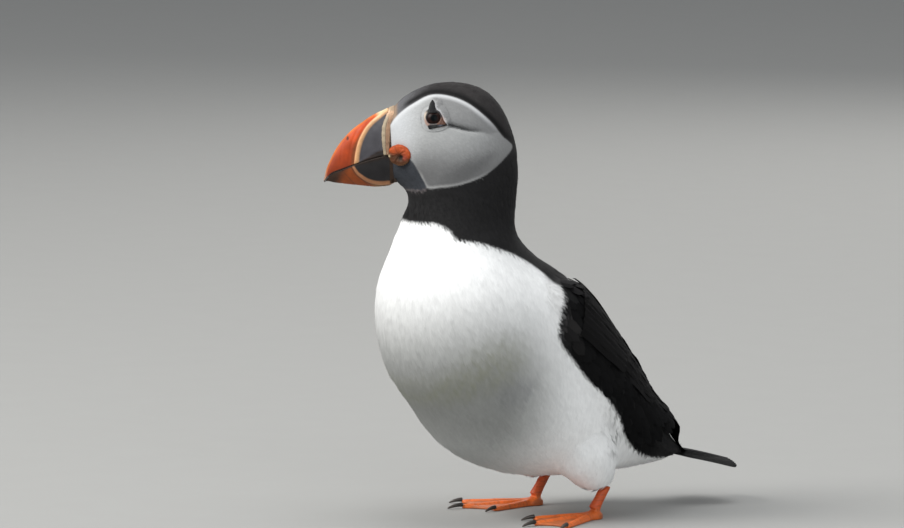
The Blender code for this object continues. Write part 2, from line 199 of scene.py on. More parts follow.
def add_object(name, mesh, finish=None):
    made = bpy.data.objects.new(name, mesh)
    bpy.context.scene.collection.objects.link(made)
    if finish:
        mesh.materials.clear()
        mesh.materials.append(finish)
    return made


def grid_faces(rows, columns, wrap=False, base=0):
    """The corners of the faces over a grid of points, which may close across."""
    numbers = base + np.arange(rows * columns).reshape(rows, columns)
    if wrap:
        numbers = np.concatenate((numbers, numbers[:, :1]), axis=1)
    corners = (numbers[:-1, :-1], numbers[:-1, 1:], numbers[1:, 1:], numbers[1:, :-1])
    return np.stack(corners, -1).reshape(-1, 4)


def smooth_mesh(name, points, faces):
    mesh = bpy.data.meshes.new(name)
    mesh.from_pydata(points, [], faces)
    mesh.shade_smooth()
    return mesh


def grid_mesh(name, grid, wrap=False):
    """A smooth mesh over a grid of points, rows by columns, closed across if it wraps."""
    faces = grid_faces(*grid.shape[:2], wrap)
    return smooth_mesh(name, grid.reshape(-1, 3).tolist(), faces.tolist())


def build_floor():
    across = np.linspace(-FLOOR_SIZE / 2, FLOOR_SIZE / 2, 5)
    grid = np.array([[(x, y, 0.0) for x in across] for y in across])
    paper, tree, inputs = material_with("paper floor", 0.9, 0.2)
    noise = tree.nodes.new("ShaderNodeTexNoise")
    noise.inputs["Scale"].default_value = FLOOR_SPECKLE
    place = tree.nodes.new("ShaderNodeTexCoord")
    tree.links.new(place.outputs["Object"], noise.inputs["Vector"])
    ramp = tree.nodes.new("ShaderNodeValToRGB")
    ramp.color_ramp.elements[0].color = [c * FLOOR_DARKER for c in FLOOR_COLOUR[:3]] + [1.0]
    ramp.color_ramp.elements[1].color = FLOOR_COLOUR
    tree.links.new(noise.outputs["Fac"], ramp.inputs["Fac"])
    tree.links.new(ramp.outputs["Color"], inputs["Base Color"])
    add_object("floor", grid_mesh("floor", grid), paper)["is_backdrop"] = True


def smooth_row(rows, t):
    """The value at t, counted in rows, on a smooth curve through equally spaced rows."""
    last = len(rows) - 1
    i = min(max(int(t), 0), last - 1)
    u = t - i
    before, start, end, after = rows[max(i - 1, 0)], rows[i], rows[i + 1], rows[min(i + 2, last)]
    bend = 2 * before - 5 * start + 4 * end - after
    twist = 3 * (start - end) + after - before
    return start + 0.5 * u * (end - before + u * (bend + u * twist))


def add_lamp(name, place, size, watts, colour):
    light = bpy.data.lights.new(name, "AREA")
    light.shape = "DISK"
    light.size = size
    light.energy = watts
    light.color = colour
    lamp = bpy.data.objects.new(name, light)
    lamp.location = place
    lamp.rotation_euler = (Vector(place) - LAMP_AIM).to_track_quat("Z", "Y").to_euler()
    bpy.context.scene.collection.objects.link(lamp)


build_floor()
for lamp_row in LAMPS:
    add_lamp(*lamp_row)
world = bpy.data.worlds.new("soft sky")
world.use_nodes = True
sky = world.node_tree.nodes["Background"].inputs
sky["Color"].default_value = SKY_COLOUR
sky["Strength"].default_value = SKY_STRENGTH
bpy.context.scene.world = world
print("lamps:", [row[0] for row in LAMPS])

# %% [markdown]
# Under its feathers a bird has one skin. The solids are cut from each other with small
# gaps, so they are grown a little until they touch, and a voxel remesh pours one closed
# surface round them all. It is then relaxed, to lose the solids' facets, and sunk by the
# depth of the coat that lies over it: least on the face, most on the breast and back.

# %% Reading and easing meshes
FLESH = ("head", "neck", "back", "breast", "rump", "belly", "thigh_left", "thigh_right",
         "wing_left", "wing_right")
BRIDGE = 0.35 * MM  # how far each solid is grown to close the gaps
VOXEL = 1.2 * MM
RELAX_ROUNDS = 14
DEPTH_ROUNDS = 12
COAT_DEPTH = {"head": 0.7, "neck": 1.2, "back": 1.5, "breast": 1.6, "rump": 1.6, "belly": 1.7,
              "thigh_left": 1.2, "thigh_right": 1.2, "wing_left": 0.9, "wing_right": 0.9}


def mesh_points(mesh):
    points = np.empty(len(mesh.vertices) * 3)
    mesh.vertices.foreach_get("co", points)
    return points.reshape(-1, 3)


def mesh_normals(mesh):
    normals = np.empty(len(mesh.vertices) * 3, np.float32)
    mesh.vertex_normals.foreach_get("vector", normals)
    return normals.reshape(-1, 3).astype(float)


def mesh_edges(mesh):
    edges = np.empty(len(mesh.edges) * 2, np.int32)
    mesh.edges.foreach_get("vertices", edges)
    return edges.reshape(-1, 2)


def move_points(mesh, points):
    mesh.vertices.foreach_set("co", points.ravel())
    mesh.update()


def store(mesh, name, values, kind="FLOAT", domain="POINT"):
    """Keeps values on a mesh as a named attribute."""
    attribute = mesh.attributes.get(name) or mesh.attributes.new(name, kind, domain)
    key = {"FLOAT": "value", "INT": "value", "FLOAT_VECTOR": "vector", "FLOAT_COLOR": "color"}[kind]
    attribute.data.foreach_set(key, np.ascontiguousarray(values, np.int32 if kind == "INT"
                                                         else np.float32).ravel())


def store_colour(mesh, name, colours):
    """Keeps a colour for each point, fully opaque."""
    flat = colours.reshape(-1, 3)
    store(mesh, name, np.concatenate((flat, np.ones((len(flat), 1))), 1), "FLOAT_COLOR")


def corner_points(mesh):
    """The number of the point at each face's corners."""
    corners = np.empty(len(mesh.loops), np.int32)
    mesh.loops.foreach_get("vertex_index", corners)
    return corners


def neighbour_mean(values, edges):
    """For each point, the mean of the values at the points that it shares an edge with."""
    count = np.bincount(edges.ravel(), minlength=len(values))
    columns = values.reshape(len(values), -1)
    total = np.stack([np.bincount(edges[:, 0], column[edges[:, 1]], len(values))
                      + np.bincount(edges[:, 1], column[edges[:, 0]], len(values))
                      for column in columns.T], axis=1)
    return (total / np.maximum(count, 1)[:, None]).reshape(values.shape)


def relaxed(values, edges, rounds, strength=0.5):
    for _round in range(rounds):
        values = values + strength * (neighbour_mean(values, edges) - values)
    return values


print("flesh solids:", len(FLESH))

# %% [markdown]
# Pouring is done with a voxel remesh modifier on all the grown solids at once. The same steps
# serve again later for the feet and the claws, so they are kept as functions.

# %% Pour the skin
def evaluated_mesh(thing):
    """What the object's modifiers make of it, as a plain mesh."""
    graph = bpy.context.evaluated_depsgraph_get()
    graph.update()
    return bpy.data.meshes.new_from_object(thing.evaluated_get(graph))


def grown_solids(names, growth):
    """The named solids in one mesh, each grown along its own surface."""
    joined = bmesh.new()
    for name in names:
        piece = bmesh.new()
        piece.from_mesh(frame["nodes"][name].data)
        bmesh.ops.remove_doubles(piece, verts=piece.verts, dist=0.01 * MM)
        piece.normal_update()
        for vert in piece.verts:
            vert.co += vert.normal * growth
        grown = bpy.data.meshes.new(name + " grown")
        piece.to_mesh(grown)
        joined.from_mesh(grown)
        piece.free()
        bpy.data.meshes.remove(grown)
    mesh = bpy.data.meshes.new("grown solids")
    joined.to_mesh(mesh)
    joined.free()
    return mesh


def poured(name, mesh, voxel):
    """One closed surface round everything in a mesh."""
    thing = add_object(name, mesh)
    remesh = thing.modifiers.new("pour", "REMESH")
    remesh.mode = "VOXEL"
    remesh.voxel_size = voxel
    made = evaluated_mesh(thing)
    bpy.data.objects.remove(thing)
    made.name = name
    return made


def tree_of(names):
    """One search tree over one or more solids."""
    points, faces = [], []
    for name in names:
        mesh = frame["nodes"][name].data
        base = len(points)
        points += [v.co.copy() for v in mesh.vertices]
        faces += [[base + i for i in p.vertices] for p in mesh.polygons]
    return BVHTree.FromPolygons(points, faces)


SOLID_TREES = {name: tree_of((name,)) for name in FLESH}


def nearest_solid(points, names):
    """For each point, which of the named solids is nearest."""
    distances = np.empty((len(points), len(names)))
    for column, name in enumerate(names):
        find = SOLID_TREES[name].find_nearest
        distances[:, column] = [find(p)[3] for p in points]
    return distances.argmin(axis=1)


skin_mesh = poured("skin", grown_solids(FLESH, BRIDGE), VOXEL)
skin_edges = mesh_edges(skin_mesh)
outer = relaxed(mesh_points(skin_mesh), skin_edges, RELAX_ROUNDS)
move_points(skin_mesh, outer)
region = nearest_solid(outer, FLESH)
depth = np.array([COAT_DEPTH[name] for name in FLESH])[region] + BRIDGE / MM * 0.5
depth = relaxed(depth, skin_edges, DEPTH_ROUNDS)
move_points(skin_mesh, outer - mesh_normals(skin_mesh) * depth[:, None] * MM)
print("skin points:", len(outer), "depth mm:", round(depth.min(), 2), "to", round(depth.max(), 2))

# %% [markdown]
# Feathers lie like water running from the bill to the tail. Heat flowing over the skin from
# a warm bill to a cold tail tip takes the same paths, so the lie is found by letting the
# heat settle on the skin's own edges and following its slope. The thighs are cold at their
# lower ends too, so that their feathers point down the legs.

# %% The lie of the feathers
SOURCE_AHEAD = 30.0  # mm in the head's axes: the skin round the bill's base
HEAD_ABOVE = 150.0  # mm above the floor
SINK_BEHIND = 113.0  # mm behind the neck's upright line: the tail's root
THIGH_END = 16.5  # mm above the floor
THIGH_BEHIND = 40.0  # mm behind the neck's upright line, and how far to each side of that
THIGH_REACH = 14.0
THIGH_COLD = 0.93
SETTLED = 1e-5


def settled_heat(edges, count, fixed, values):
    """Heat at every point once it has settled, by conjugate gradients on the skin's edges."""
    free = ~fixed
    degree = np.bincount(edges.ravel(), minlength=count).astype(float)

    def flow(heat):
        inward = (np.bincount(edges[:, 0], heat[edges[:, 1]], count)
                  + np.bincount(edges[:, 1], heat[edges[:, 0]], count))
        return (degree * heat - inward) * free

    heat = np.where(fixed, values, 0.5)
    left = -flow(heat)
    step = left / degree
    toward = step.copy()
    energy = left @ step
    start = energy
    for _turn in range(3000):
        pull = flow(toward)
        pace = energy / (toward @ pull)
        heat += pace * toward
        left -= pace * pull
        step = left / degree
        fresh = left @ step
        if fresh < SETTLED ** 2 * start:
            break
        toward = step + toward * fresh / energy
        energy = fresh
    return heat


def slope(values, points, normals, edges):
    """The way that a value rises fastest along the surface, one unit long."""
    first, second = edges.T
    step = points[second] - points[first]
    rise = ((values[second] - values[first]) / (step ** 2).sum(axis=1))[:, None] * step
    total = np.stack([np.bincount(first, rise[:, k], len(points))
                      + np.bincount(second, rise[:, k], len(points)) for k in range(3)], axis=1)
    total -= normals * (total * normals).sum(axis=1)[:, None]
    return total / np.maximum(np.linalg.norm(total, axis=1), 1e-12)[:, None]


skin_points = mesh_points(skin_mesh)
skin_normals = mesh_normals(skin_mesh)
head_mm = in_head(skin_points)
trunk_mm = in_trunk(skin_points)
at_bill = (head_mm[:, 0] > SOURCE_AHEAD) & (head_mm[:, 2] > HEAD_ABOVE)
at_tail = trunk_mm[:, 0] < -SINK_BEHIND
at_thigh_end = trunk_mm[:, 2] < THIGH_END
at_thigh_end &= np.abs(trunk_mm[:, 0] + THIGH_BEHIND) < THIGH_REACH
cold = np.where(at_tail, 1.0, np.where(at_thigh_end, THIGH_COLD, 0.0))
heat = settled_heat(skin_edges, len(skin_points), at_bill | at_tail | at_thigh_end, cold)
lie = relaxed(slope(heat, skin_points, skin_normals, skin_edges), skin_edges, 10)
store(skin_mesh, "lie", lie, "FLOAT_VECTOR")
print("pinned:", int(at_bill.sum()), int(at_tail.sum()), int(at_thigh_end.sum()))

# %% [markdown]
# A map of the skin is wanted on which every tuft can find its own place. One way across the
# map is the settled heat, spread so that equal strips hold equal skin. The other is the
# angle round a curved middle line through the body, which opens along the belly.

# %% A map of the skin
MAP_STRIPS = 48
MAP_MARGIN = 0.02
MAP_TURN = 1.04  # turns across the map, with room for faces that cross the cut


def map_of_skin(points, heat):
    """For each point, its place round the body and along it, each from 0 to 1."""
    along = np.empty(len(points))
    along[np.argsort(heat, kind="stable")] = np.linspace(0, 1, len(points))
    strip = np.minimum((along * MAP_STRIPS).astype(int), MAP_STRIPS - 1)
    count = np.bincount(strip, minlength=MAP_STRIPS)
    line = np.stack([np.bincount(strip, points[:, k], MAP_STRIPS) / count for k in range(3)], 1)
    for _round in range(4):
        line[1:-1] = (line[:-2] + line[1:-1] * 2 + line[2:]) / 4
    centres = (np.arange(MAP_STRIPS) + 0.5) / MAP_STRIPS
    ways = np.gradient(line, axis=0)
    middle_line = np.stack([np.interp(along, centres, line[:, k]) for k in range(3)], axis=1)
    way = np.stack([np.interp(along, centres, ways[:, k]) for k in range(3)], axis=1)
    way /= np.linalg.norm(way, axis=1)[:, None]
    turn = np.clip(1.0 - along / 0.35, 0.0, 1.0)[:, None]
    left = np.array(ASIDE) * turn + np.array((1.0, 0.0, 0.0)) * (1 - turn)
    left -= way * (left * way).sum(axis=1)[:, None]
    left /= np.linalg.norm(left, axis=1)[:, None]
    back = np.cross(left, way)
    out = points - middle_line
    angle = np.arctan2((out * left).sum(axis=1), (out * back).sum(axis=1))
    return angle / math.tau + 0.5, along


def map_place(around, along):
    room = 1.0 - 2 * MAP_MARGIN
    return MAP_MARGIN + around / MAP_TURN * room, MAP_MARGIN + along * room


def store_map(mesh, around, along):
    """Writes the map on the faces' corners, so that it can be cut along the belly."""
    corners = corner_points(mesh)
    starts = np.empty(len(mesh.polygons), np.int32)
    mesh.polygons.foreach_get("loop_start", starts)
    totals = np.empty(len(mesh.polygons), np.int32)
    mesh.polygons.foreach_get("loop_total", totals)
    face = np.repeat(np.arange(len(starts)), totals)
    place = around[corners]
    widest = np.maximum.reduceat(place, starts)
    narrowest = np.minimum.reduceat(place, starts)
    torn = (widest - narrowest > 0.5)[face]
    place = np.where(torn & (place < 0.5), place + 1.0, place)
    u, v = map_place(place, along[corners])
    layer = mesh.uv_layers.get("OFBake") or mesh.uv_layers.new(name="OFBake")
    layer.data.foreach_set("uv", np.stack((u, v), axis=1).ravel())
    store(mesh, "place_on_skin", np.stack((u, v, v * 0), axis=1), "FLOAT_VECTOR", "CORNER")


store(skin_mesh, "heat", heat)

# %% [markdown]
# The face needs finer skin than the trunk for its folds: the furrow that runs back from the
# eye, the fold that leans over it, and the sockets. So the skin of the head is divided once
# more, and then it is shaped by pushing it in and out along its own surface.

# %% Finer skin on the head
FINE_ABOVE = 151.0
FINE_BEHIND = -27.0


def divide_head(mesh):
    """Halves the faces of the head, keeping what is stored on them."""
    shape = bmesh.new()
    shape.from_mesh(mesh)
    places = in_head(np.array([v.co for v in shape.verts]))
    fine = (places[:, 2] > FINE_ABOVE) & (places[:, 0] > FINE_BEHIND)
    shape.verts.ensure_lookup_table()
    chosen = [e for e in shape.edges if fine[e.verts[0].index] and fine[e.verts[1].index]]
    bmesh.ops.subdivide_edges(shape, edges=chosen, cuts=1, use_grid_fill=True)
    bmesh.ops.triangulate(shape, faces=shape.faces[:])
    shape.to_mesh(mesh)
    shape.free()


def stored(mesh, name, width=1):
    values = np.empty(len(mesh.vertices) * width, np.float32)
    key = "value" if width == 1 else "vector"
    mesh.attributes[name].data.foreach_get(key, values)
    return values.astype(float).reshape(-1, width) if width > 1 else values.astype(float)


divide_head(skin_mesh)
skin_edges = mesh_edges(skin_mesh)
skin_points = mesh_points(skin_mesh)
head_mm = in_head(skin_points)
fine_part = (head_mm[:, 2] > FINE_ABOVE) & (head_mm[:, 0] > FINE_BEHIND)
skin_points = np.where(fine_part[:, None], relaxed(skin_points, skin_edges, 3), skin_points)
move_points(skin_mesh, skin_points)
print("skin triangles:", len(skin_mesh.polygons))

# %% [markdown]
# The puffin's pattern is a few clean shapes: a pale disc on each side of the face, a black
# hood and collar, a black back and wings, and a white front. Each border is a smooth line
# through a handful of points, as seen from the bird's side, and a point's distance from that
# line says which colour it takes. Skin and feathers ask the same functions, so that they
# always agree.

# %% Borders of the pattern
FACE_DISC = ((36.0, 182.0), (33.4, 184.6), (31.4, 187.6), (28.1, 191.0), (23.1, 194.6),
             (14.8, 198.8), (5.6, 198.4), (-3.6, 194.6), (-12.8, 187.0), (-18.2, 180.2),
             (-22.9, 175.1), (-19.5, 170.2),
             (-12.5, 164.2), (-5.8, 160.8), (2.2, 158.4), (10.2, 157.3), (16.6, 157.1),
             (20.3, 164.1), (24.0, 169.4), (30.0, 171.5), (36.0, 173.0))
CHIN = ((20.0, 155.4), (16.6, 157.1), (20.3, 164.1), (24.0, 169.4), (30.0, 172.5), (36.0, 173.0),
        (36.0, 154.0), (28.0, 154.6))
DARK_ABOVE = ((60.0, 140.6), (28.4, 140.8), (22.8, 140.8), (18.6, 137.6), (16.2, 133.8),
              (7.1, 132.3), (-0.7, 129.5), (-11.0, 125.8), (-22.4, 119.6), (-28.2, 114.0),
              (-31.0, 108.2), (-27.2, 100.0), (-25.4, 92.0), (-26.8, 84.9), (-33.8, 76.7),
              (-41.4, 67.9), (-47.8, 62.8), (-55.2, 55.6), (-61.5, 47.5), (-67.0, 39.4),
              (-74.0, 33.0), (-88.0, 26.8), (-110.0, 23.4), (-160.0, 19.0))
FAR_OUTSIDE = ((-200.0, 19.0), (-200.0, 300.0), (60.0, 300.0))
LINE_STEPS = 7


def smooth_line(points, closed=True):
    """A smooth line through points, as many short straight stretches."""
    rows = np.array(points, float)
    if closed:
        rows = np.concatenate((rows[-1:], rows, rows[:2]))
        times = np.arange(LINE_STEPS, (len(rows) - 2) * LINE_STEPS) / LINE_STEPS
    else:
        times = np.linspace(0, len(rows) - 1, (len(rows) - 1) * LINE_STEPS + 1)
    return np.array([smooth_row(rows, t) for t in times])


def to_line(places, line):
    """Distance from each place to the nearest point of a line, and how far along it that is."""
    best = np.full(len(places), np.inf)
    share = np.zeros(len(places))
    for i, (start, end) in enumerate(zip(line[:-1], line[1:])):
        run = end - start
        t = np.clip((places - start) @ run / max(run @ run, 1e-12), 0.0, 1.0)
        gap = np.linalg.norm(places - start - t[:, None] * run, axis=1)
        nearer = gap < best
        best = np.where(nearer, gap, best)
        share = np.where(nearer, (i + t) / (len(line) - 1), share)
    return best, share


def depth_inside(places, outline):
    """Distance inside a closed outline, or less than nothing outside it."""
    ring = np.concatenate((outline, outline[:1]))
    gap, _share = to_line(places, ring)
    inside = np.zeros(len(places), bool)
    for (x0, y0), (x1, y1) in zip(ring[:-1], ring[1:]):
        if y0 == y1:
            continue
        crosses = (places[:, 1] < y0) != (places[:, 1] < y1)
        inside ^= crosses & (places[:, 0] < x0 + (places[:, 1] - y0) * (x1 - x0) / (y1 - y0))
    return np.where(inside, gap, -gap)


def ease(values, low, high):
    """0 up to low, 1 from high, and a smooth rise between."""
    t = np.clip((values - low) / (high - low), 0.0, 1.0)
    return t * t * (3.0 - 2.0 * t)


def fade(values, low, high):
    """1 up to low, 0 from high, and a smooth fall between."""
    return 1.0 - ease(values, low, high)


def groove(gap, half_width):
    """1 on a line, falling smoothly to 0 on both sides of it, as in a round-bottomed groove."""
    return np.exp(-(gap / half_width) ** 2)


FACE_LINE = smooth_line(FACE_DISC)
CHIN_LINE = smooth_line(CHIN)
DARK_LINE = np.concatenate((smooth_line(DARK_ABOVE, closed=False), FAR_OUTSIDE))
print("points on the borders:", len(FACE_LINE), len(CHIN_LINE), len(DARK_LINE))

# %% [markdown]
# The folds of the face come next. A deep furrow starts behind the eye and runs back along
# the cheek, and the skin above it leans over it in a soft fold whose front edge carries a pale
# painted highlight beside the eye.

# %% Folds of the face
FURROW = ((7.0, 186.0), (4.6, 185.4), (2.4, 184.9), (-2.8, 183.6), (-8.0, 182.8), (-12.5, 181.4))
FOLD_EDGE = ((13.4, 196.4), (12.8, 195.4), (12.6, 193.9), (11.9, 192.5), (10.5, 191.5),
             (9.5, 189.8), (8.8, 188.1), (7.8, 186.7), (7.0, 185.6))
BROW = 1.0  # mm that the skin's front rim reaches forward to meet the bill's welt
FURROW_DEPTH = 1.5
FURROW_HALF_WIDTH = 0.9
FOLD_HEIGHT = 0.7
CHEEK_ASIDE = 6.0  # mm from the head's middle
CHEEK_ABOVE = 160.0

FURROW_LINE = smooth_line(FURROW, closed=False)
FOLD_LINE = smooth_line(FOLD_EDGE, closed=False)


def eye_distance(points):
    """Distance in mm from the nearer eye's middle."""
    return np.min([np.linalg.norm(points - np.array(place), axis=1) for place in EYES.values()],
                  axis=0) / MM


def sculpt_face(points, normals):
    """Presses the furrow into the skin, and raises the fold above it."""
    place = in_head(points)
    side_view = place[:, (0, 2)]
    on_face = (np.abs(place[:, 1]) > CHEEK_ASIDE) & (place[:, 2] > CHEEK_ABOVE)
    gap, share = to_line(side_view, FURROW_LINE)
    reach = ease(share, -0.05, 0.12) * fade(share, 0.5, 1.0)
    furrow = groove(gap, FURROW_HALF_WIDTH) * reach
    edge_gap, edge_share = to_line(side_view, FOLD_LINE)
    ahead, up = side_view.T
    behind = ahead < np.interp(up, FOLD_LINE[::-1, 1], FOLD_LINE[::-1, 0])
    above = up > np.interp(-ahead, -FURROW_LINE[:, 0], FURROW_LINE[:, 1])
    lean = np.exp(-gap / 3.2) * reach * above
    ridge = groove(np.maximum(edge_gap - 0.4, 0.0), 1.6) * behind * above
    ridge *= ease(edge_share, 0.0, 0.25)
    push = (FOLD_HEIGHT * np.maximum(lean, ridge) - FURROW_DEPTH * furrow) * on_face
    forward = np.array(AHEAD) * BROW * MM
    at_welt = ease(ahead, 27.0, 32.0) * (up > CHEEK_ABOVE) * (1 - 1.5 * ease(up, 184.0, 190.5))
    points = points + forward * at_welt[:, None]
    return points + normals * (push * MM)[:, None]


sculpted = sculpt_face(skin_points, mesh_normals(skin_mesh))
move_points(skin_mesh, sculpted)
skin_points = sculpted
skin_normals = mesh_normals(skin_mesh)
head_mm = in_head(skin_points)
trunk_mm = in_trunk(skin_points)
lie = relaxed(stored(skin_mesh, "lie", 3), skin_edges, 2)
lie -= skin_normals * (lie * skin_normals).sum(axis=1)[:, None]
lie /= np.maximum(np.linalg.norm(lie, axis=1), 1e-9)[:, None]
store(skin_mesh, "lie", lie, "FLOAT_VECTOR")
around, along = map_of_skin(skin_points, stored(skin_mesh, "heat"))
store_map(skin_mesh, around, along)
print("map spans:", around.min().round(3), around.max().round(3))

# %% [markdown]
# Now the colours. White first, then the black parts over it, then the face. The face is
# palest by the bill, partly its own colour and partly painted light, with painted light along
# its upper edge; it is greyer toward the rear, partly its own grey and partly painted shade,
# and painted shade darkens it below, in the furrow and under the fold; its lower edge ends in
# a pale fringe. The breast and belly are painted greyer low down, as shade from the light
# above. The belly of a bird that walks in and out of a burrow is stained, so a faint olive
# grey is laid in its hollow, and soft grey strands of painted shade, in the gaps between
# feathers, run down the flank beside the wing.

# %% Colours of the plumage
WHITE = (0.91, 0.915, 0.91)
BLACK = (0.0135, 0.013, 0.0135)
RIM_BLACK = (0.002, 0.002, 0.0022)
CROWN = (0.035, 0.032, 0.032)
FOREHEAD = (0.15, 0.15, 0.158)
# paler toward the bill, partly the face's own colour and partly painted light; also the painted
# highlight along the fold's edge
FACE_FRONT_AND_LIGHT = (0.56, 0.575, 0.59)
# painted light along the disc's upper edge, which faces the light above
FACE_EDGE_LIGHT = (0.66, 0.67, 0.68)
# painted shade on the lower face, away from the light above
LOW_FACE_SHADE = (0.10, 0.10, 0.101)
FACE_MIDDLE = (0.35, 0.355, 0.353)
# greyer toward the rear, partly the face's own grey and partly painted shade; also painted shade
# below and a painted shadow above the eye's plate
FACE_REAR_AND_SHADE = (0.19, 0.19, 0.19)
# the fold above the furrow: partly its own grey, partly painted shade
FOLD_GREY_AND_SHADE = (0.21, 0.212, 0.212)
CHEEK_DARK = (0.105, 0.105, 0.106)
# painted shade in the furrow and under the fold that leans over it
FURROW_SHADE = (0.035, 0.035, 0.037)
CHIN_GREY = (0.040, 0.044, 0.052)
CHIN_HEM = (0.17, 0.145, 0.145)
FRINGE = (0.36, 0.36, 0.357)
# painted shade: the breast and belly greyer low down, away from the light above
LOW_SHADE = (0.27, 0.275, 0.265)
STAIN = (0.21, 0.215, 0.145)
BLUE_GREY = (0.19, 0.195, 0.205)
WING_BLACK = (0.0048, 0.0048, 0.005)
BROWN_EDGE = (0.07, 0.058, 0.048)
BROW_TAN = (0.30, 0.215, 0.15)
# painted shade in the gaps between white feathers at the wing's bend and down the flank
STREAK_SHADE = (0.085, 0.08, 0.078)
STREAK_PITCH = 1.9  # mm
STRAND_PITCH = 3.4
TRUNK_PATCHES = (  # colour, middle and half sizes in mm from the side, turn, strength
    (STAIN, (10.0, 79.0), (26.0, 17.0), -35.0, 0.5),
    (STAIN, (26.0, 66.0), (20.0, 13.0), -30.0, 0.4),
    # a blue-grey patch low on the belly
    (BLUE_GREY, (-3.0, 66.0), (15.0, 10.0), -30.0, 0.4),
)


def plain(colour, count):
    return np.tile(colour, (count, 1))


def over(base, colour, mask):
    """Lays a colour over others, as thickly as the mask says."""
    return base + (np.array(colour) - base) * np.asarray(mask, float)[:, None]


def layered(base, *layers):
    """Lays colours over a base one after another, each with its own mask."""
    for colour, mask in layers:
        base = over(base, colour, mask)
    return base


def spot(places, centre, size, turn=0.0):
    """A soft oval, 1 in its middle and 0 outside, turned by degrees."""
    c, s = math.cos(math.radians(turn)), math.sin(math.radians(turn))
    away = places - np.array(centre)
    x = (away[:, 0] * c + away[:, 1] * s) / size[0]
    y = (-away[:, 0] * s + away[:, 1] * c) / size[1]
    return fade(np.hypot(x, y), 0.15, 1.0)


print("stains on the trunk:", len(TRUNK_PATCHES))

# %% [markdown]
# The trunk is painted in layers, as on a real model: white, then painted shade low on the
# front, then the stains and a blue-grey patch, then soft streaks of painted shade between the
# feathers beside the wing, and the black last, with an edge that is softer at the bend of the
# wing. Every layer is a colour and a mask.

# %% Paint the trunk
def strokes(side_view, lean, pitch, sway=0.0):
    """Waves from -1 to 1 across a leaning direction, one to each pitch in mm."""
    return np.sin(side_view @ lean * math.tau / pitch + sway)


def paint_trunk(place):
    """The white front and the black hood, back and wings."""
    side_view = place[:, (0, 2)]
    ahead, up = side_view.T
    # low: where the painted shade falls, low on the front, easing off a little at the very bottom
    low = ease(-up, -130.0, -66.0) * ease(ahead, -40.0, 4.0) * (1 - 0.25 * ease(-up, -52.0, -30.0))
    ripple = np.sin(side_view @ (1.05, 0.62) + 2.2 * np.sin(up * 0.23) + 1.3 * np.sin(ahead * 0.31))
    ripple = 0.75 + 0.35 * ripple
    colour = over(plain(WHITE, len(place)), LOW_SHADE, low)
    for patch_colour, centre, size, turn, strength in TRUNK_PATCHES:
        colour = over(colour, patch_colour, spot(side_view, centre, size, turn) * strength * ripple)
    dark = depth_inside(side_view, DARK_LINE)
    # streak, strands and tuft: where painted shade lies in the gaps between feathers at the bend,
    # down the flank and over the white tuft by the wing
    streak = ease(strokes(side_view, (0.85, 0.53), STREAK_PITCH, np.sin(up * 0.5)), -0.2, 0.7)
    bend = spot(side_view, (-26.5, 107.0), (7.5, 15.0), 6.0)
    flank = spot(side_view, (-57.5, 43.0), (9.5, 18.0), -6.0)
    strands = strokes(side_view, (1.0, 0.16), STRAND_PITCH, 0.9 * np.sin(up * 0.31))
    strands += 0.6 * strokes(side_view, (1.0, 0.10), STREAK_PITCH)
    inside = ease(dark / (0.7 + 1.3 * bend), -1.0, 1.0)
    on_wing = ease(-ahead, 24.0, 34.0) * ease(-up, -112.0, -104.0)
    on_wing *= ease(np.abs(place[:, 1]), 20.0, 28.0)
    tuft = spot(side_view, (-31.0, 93.0), (7.0, 8.0), 30.0) * ease(dark, 0.0, 0.8)
    return layered(colour,
                   (STREAK_SHADE, (0.6 + 0.4 * streak) * bend * 0.42),
                   (STREAK_SHADE, ease(strands, 0.0, 1.0) * flank * 0.85),
                   (BLACK, inside),
                   (WING_BLACK, inside * on_wing),
                   (STREAK_SHADE, streak * tuft * 0.5)), dark


trunk_colours, _dark = paint_trunk(trunk_mm)
print("mean trunk colour:", trunk_colours.mean(axis=0).round(2))

# %% [markdown]
# The face is painted in the same way over the black hood. Its disc, its chin and the thin
# black rim above it follow the borders, and painted shade and light follow the furrow and fold
# along their own lines, so that the paint stays with the shape.

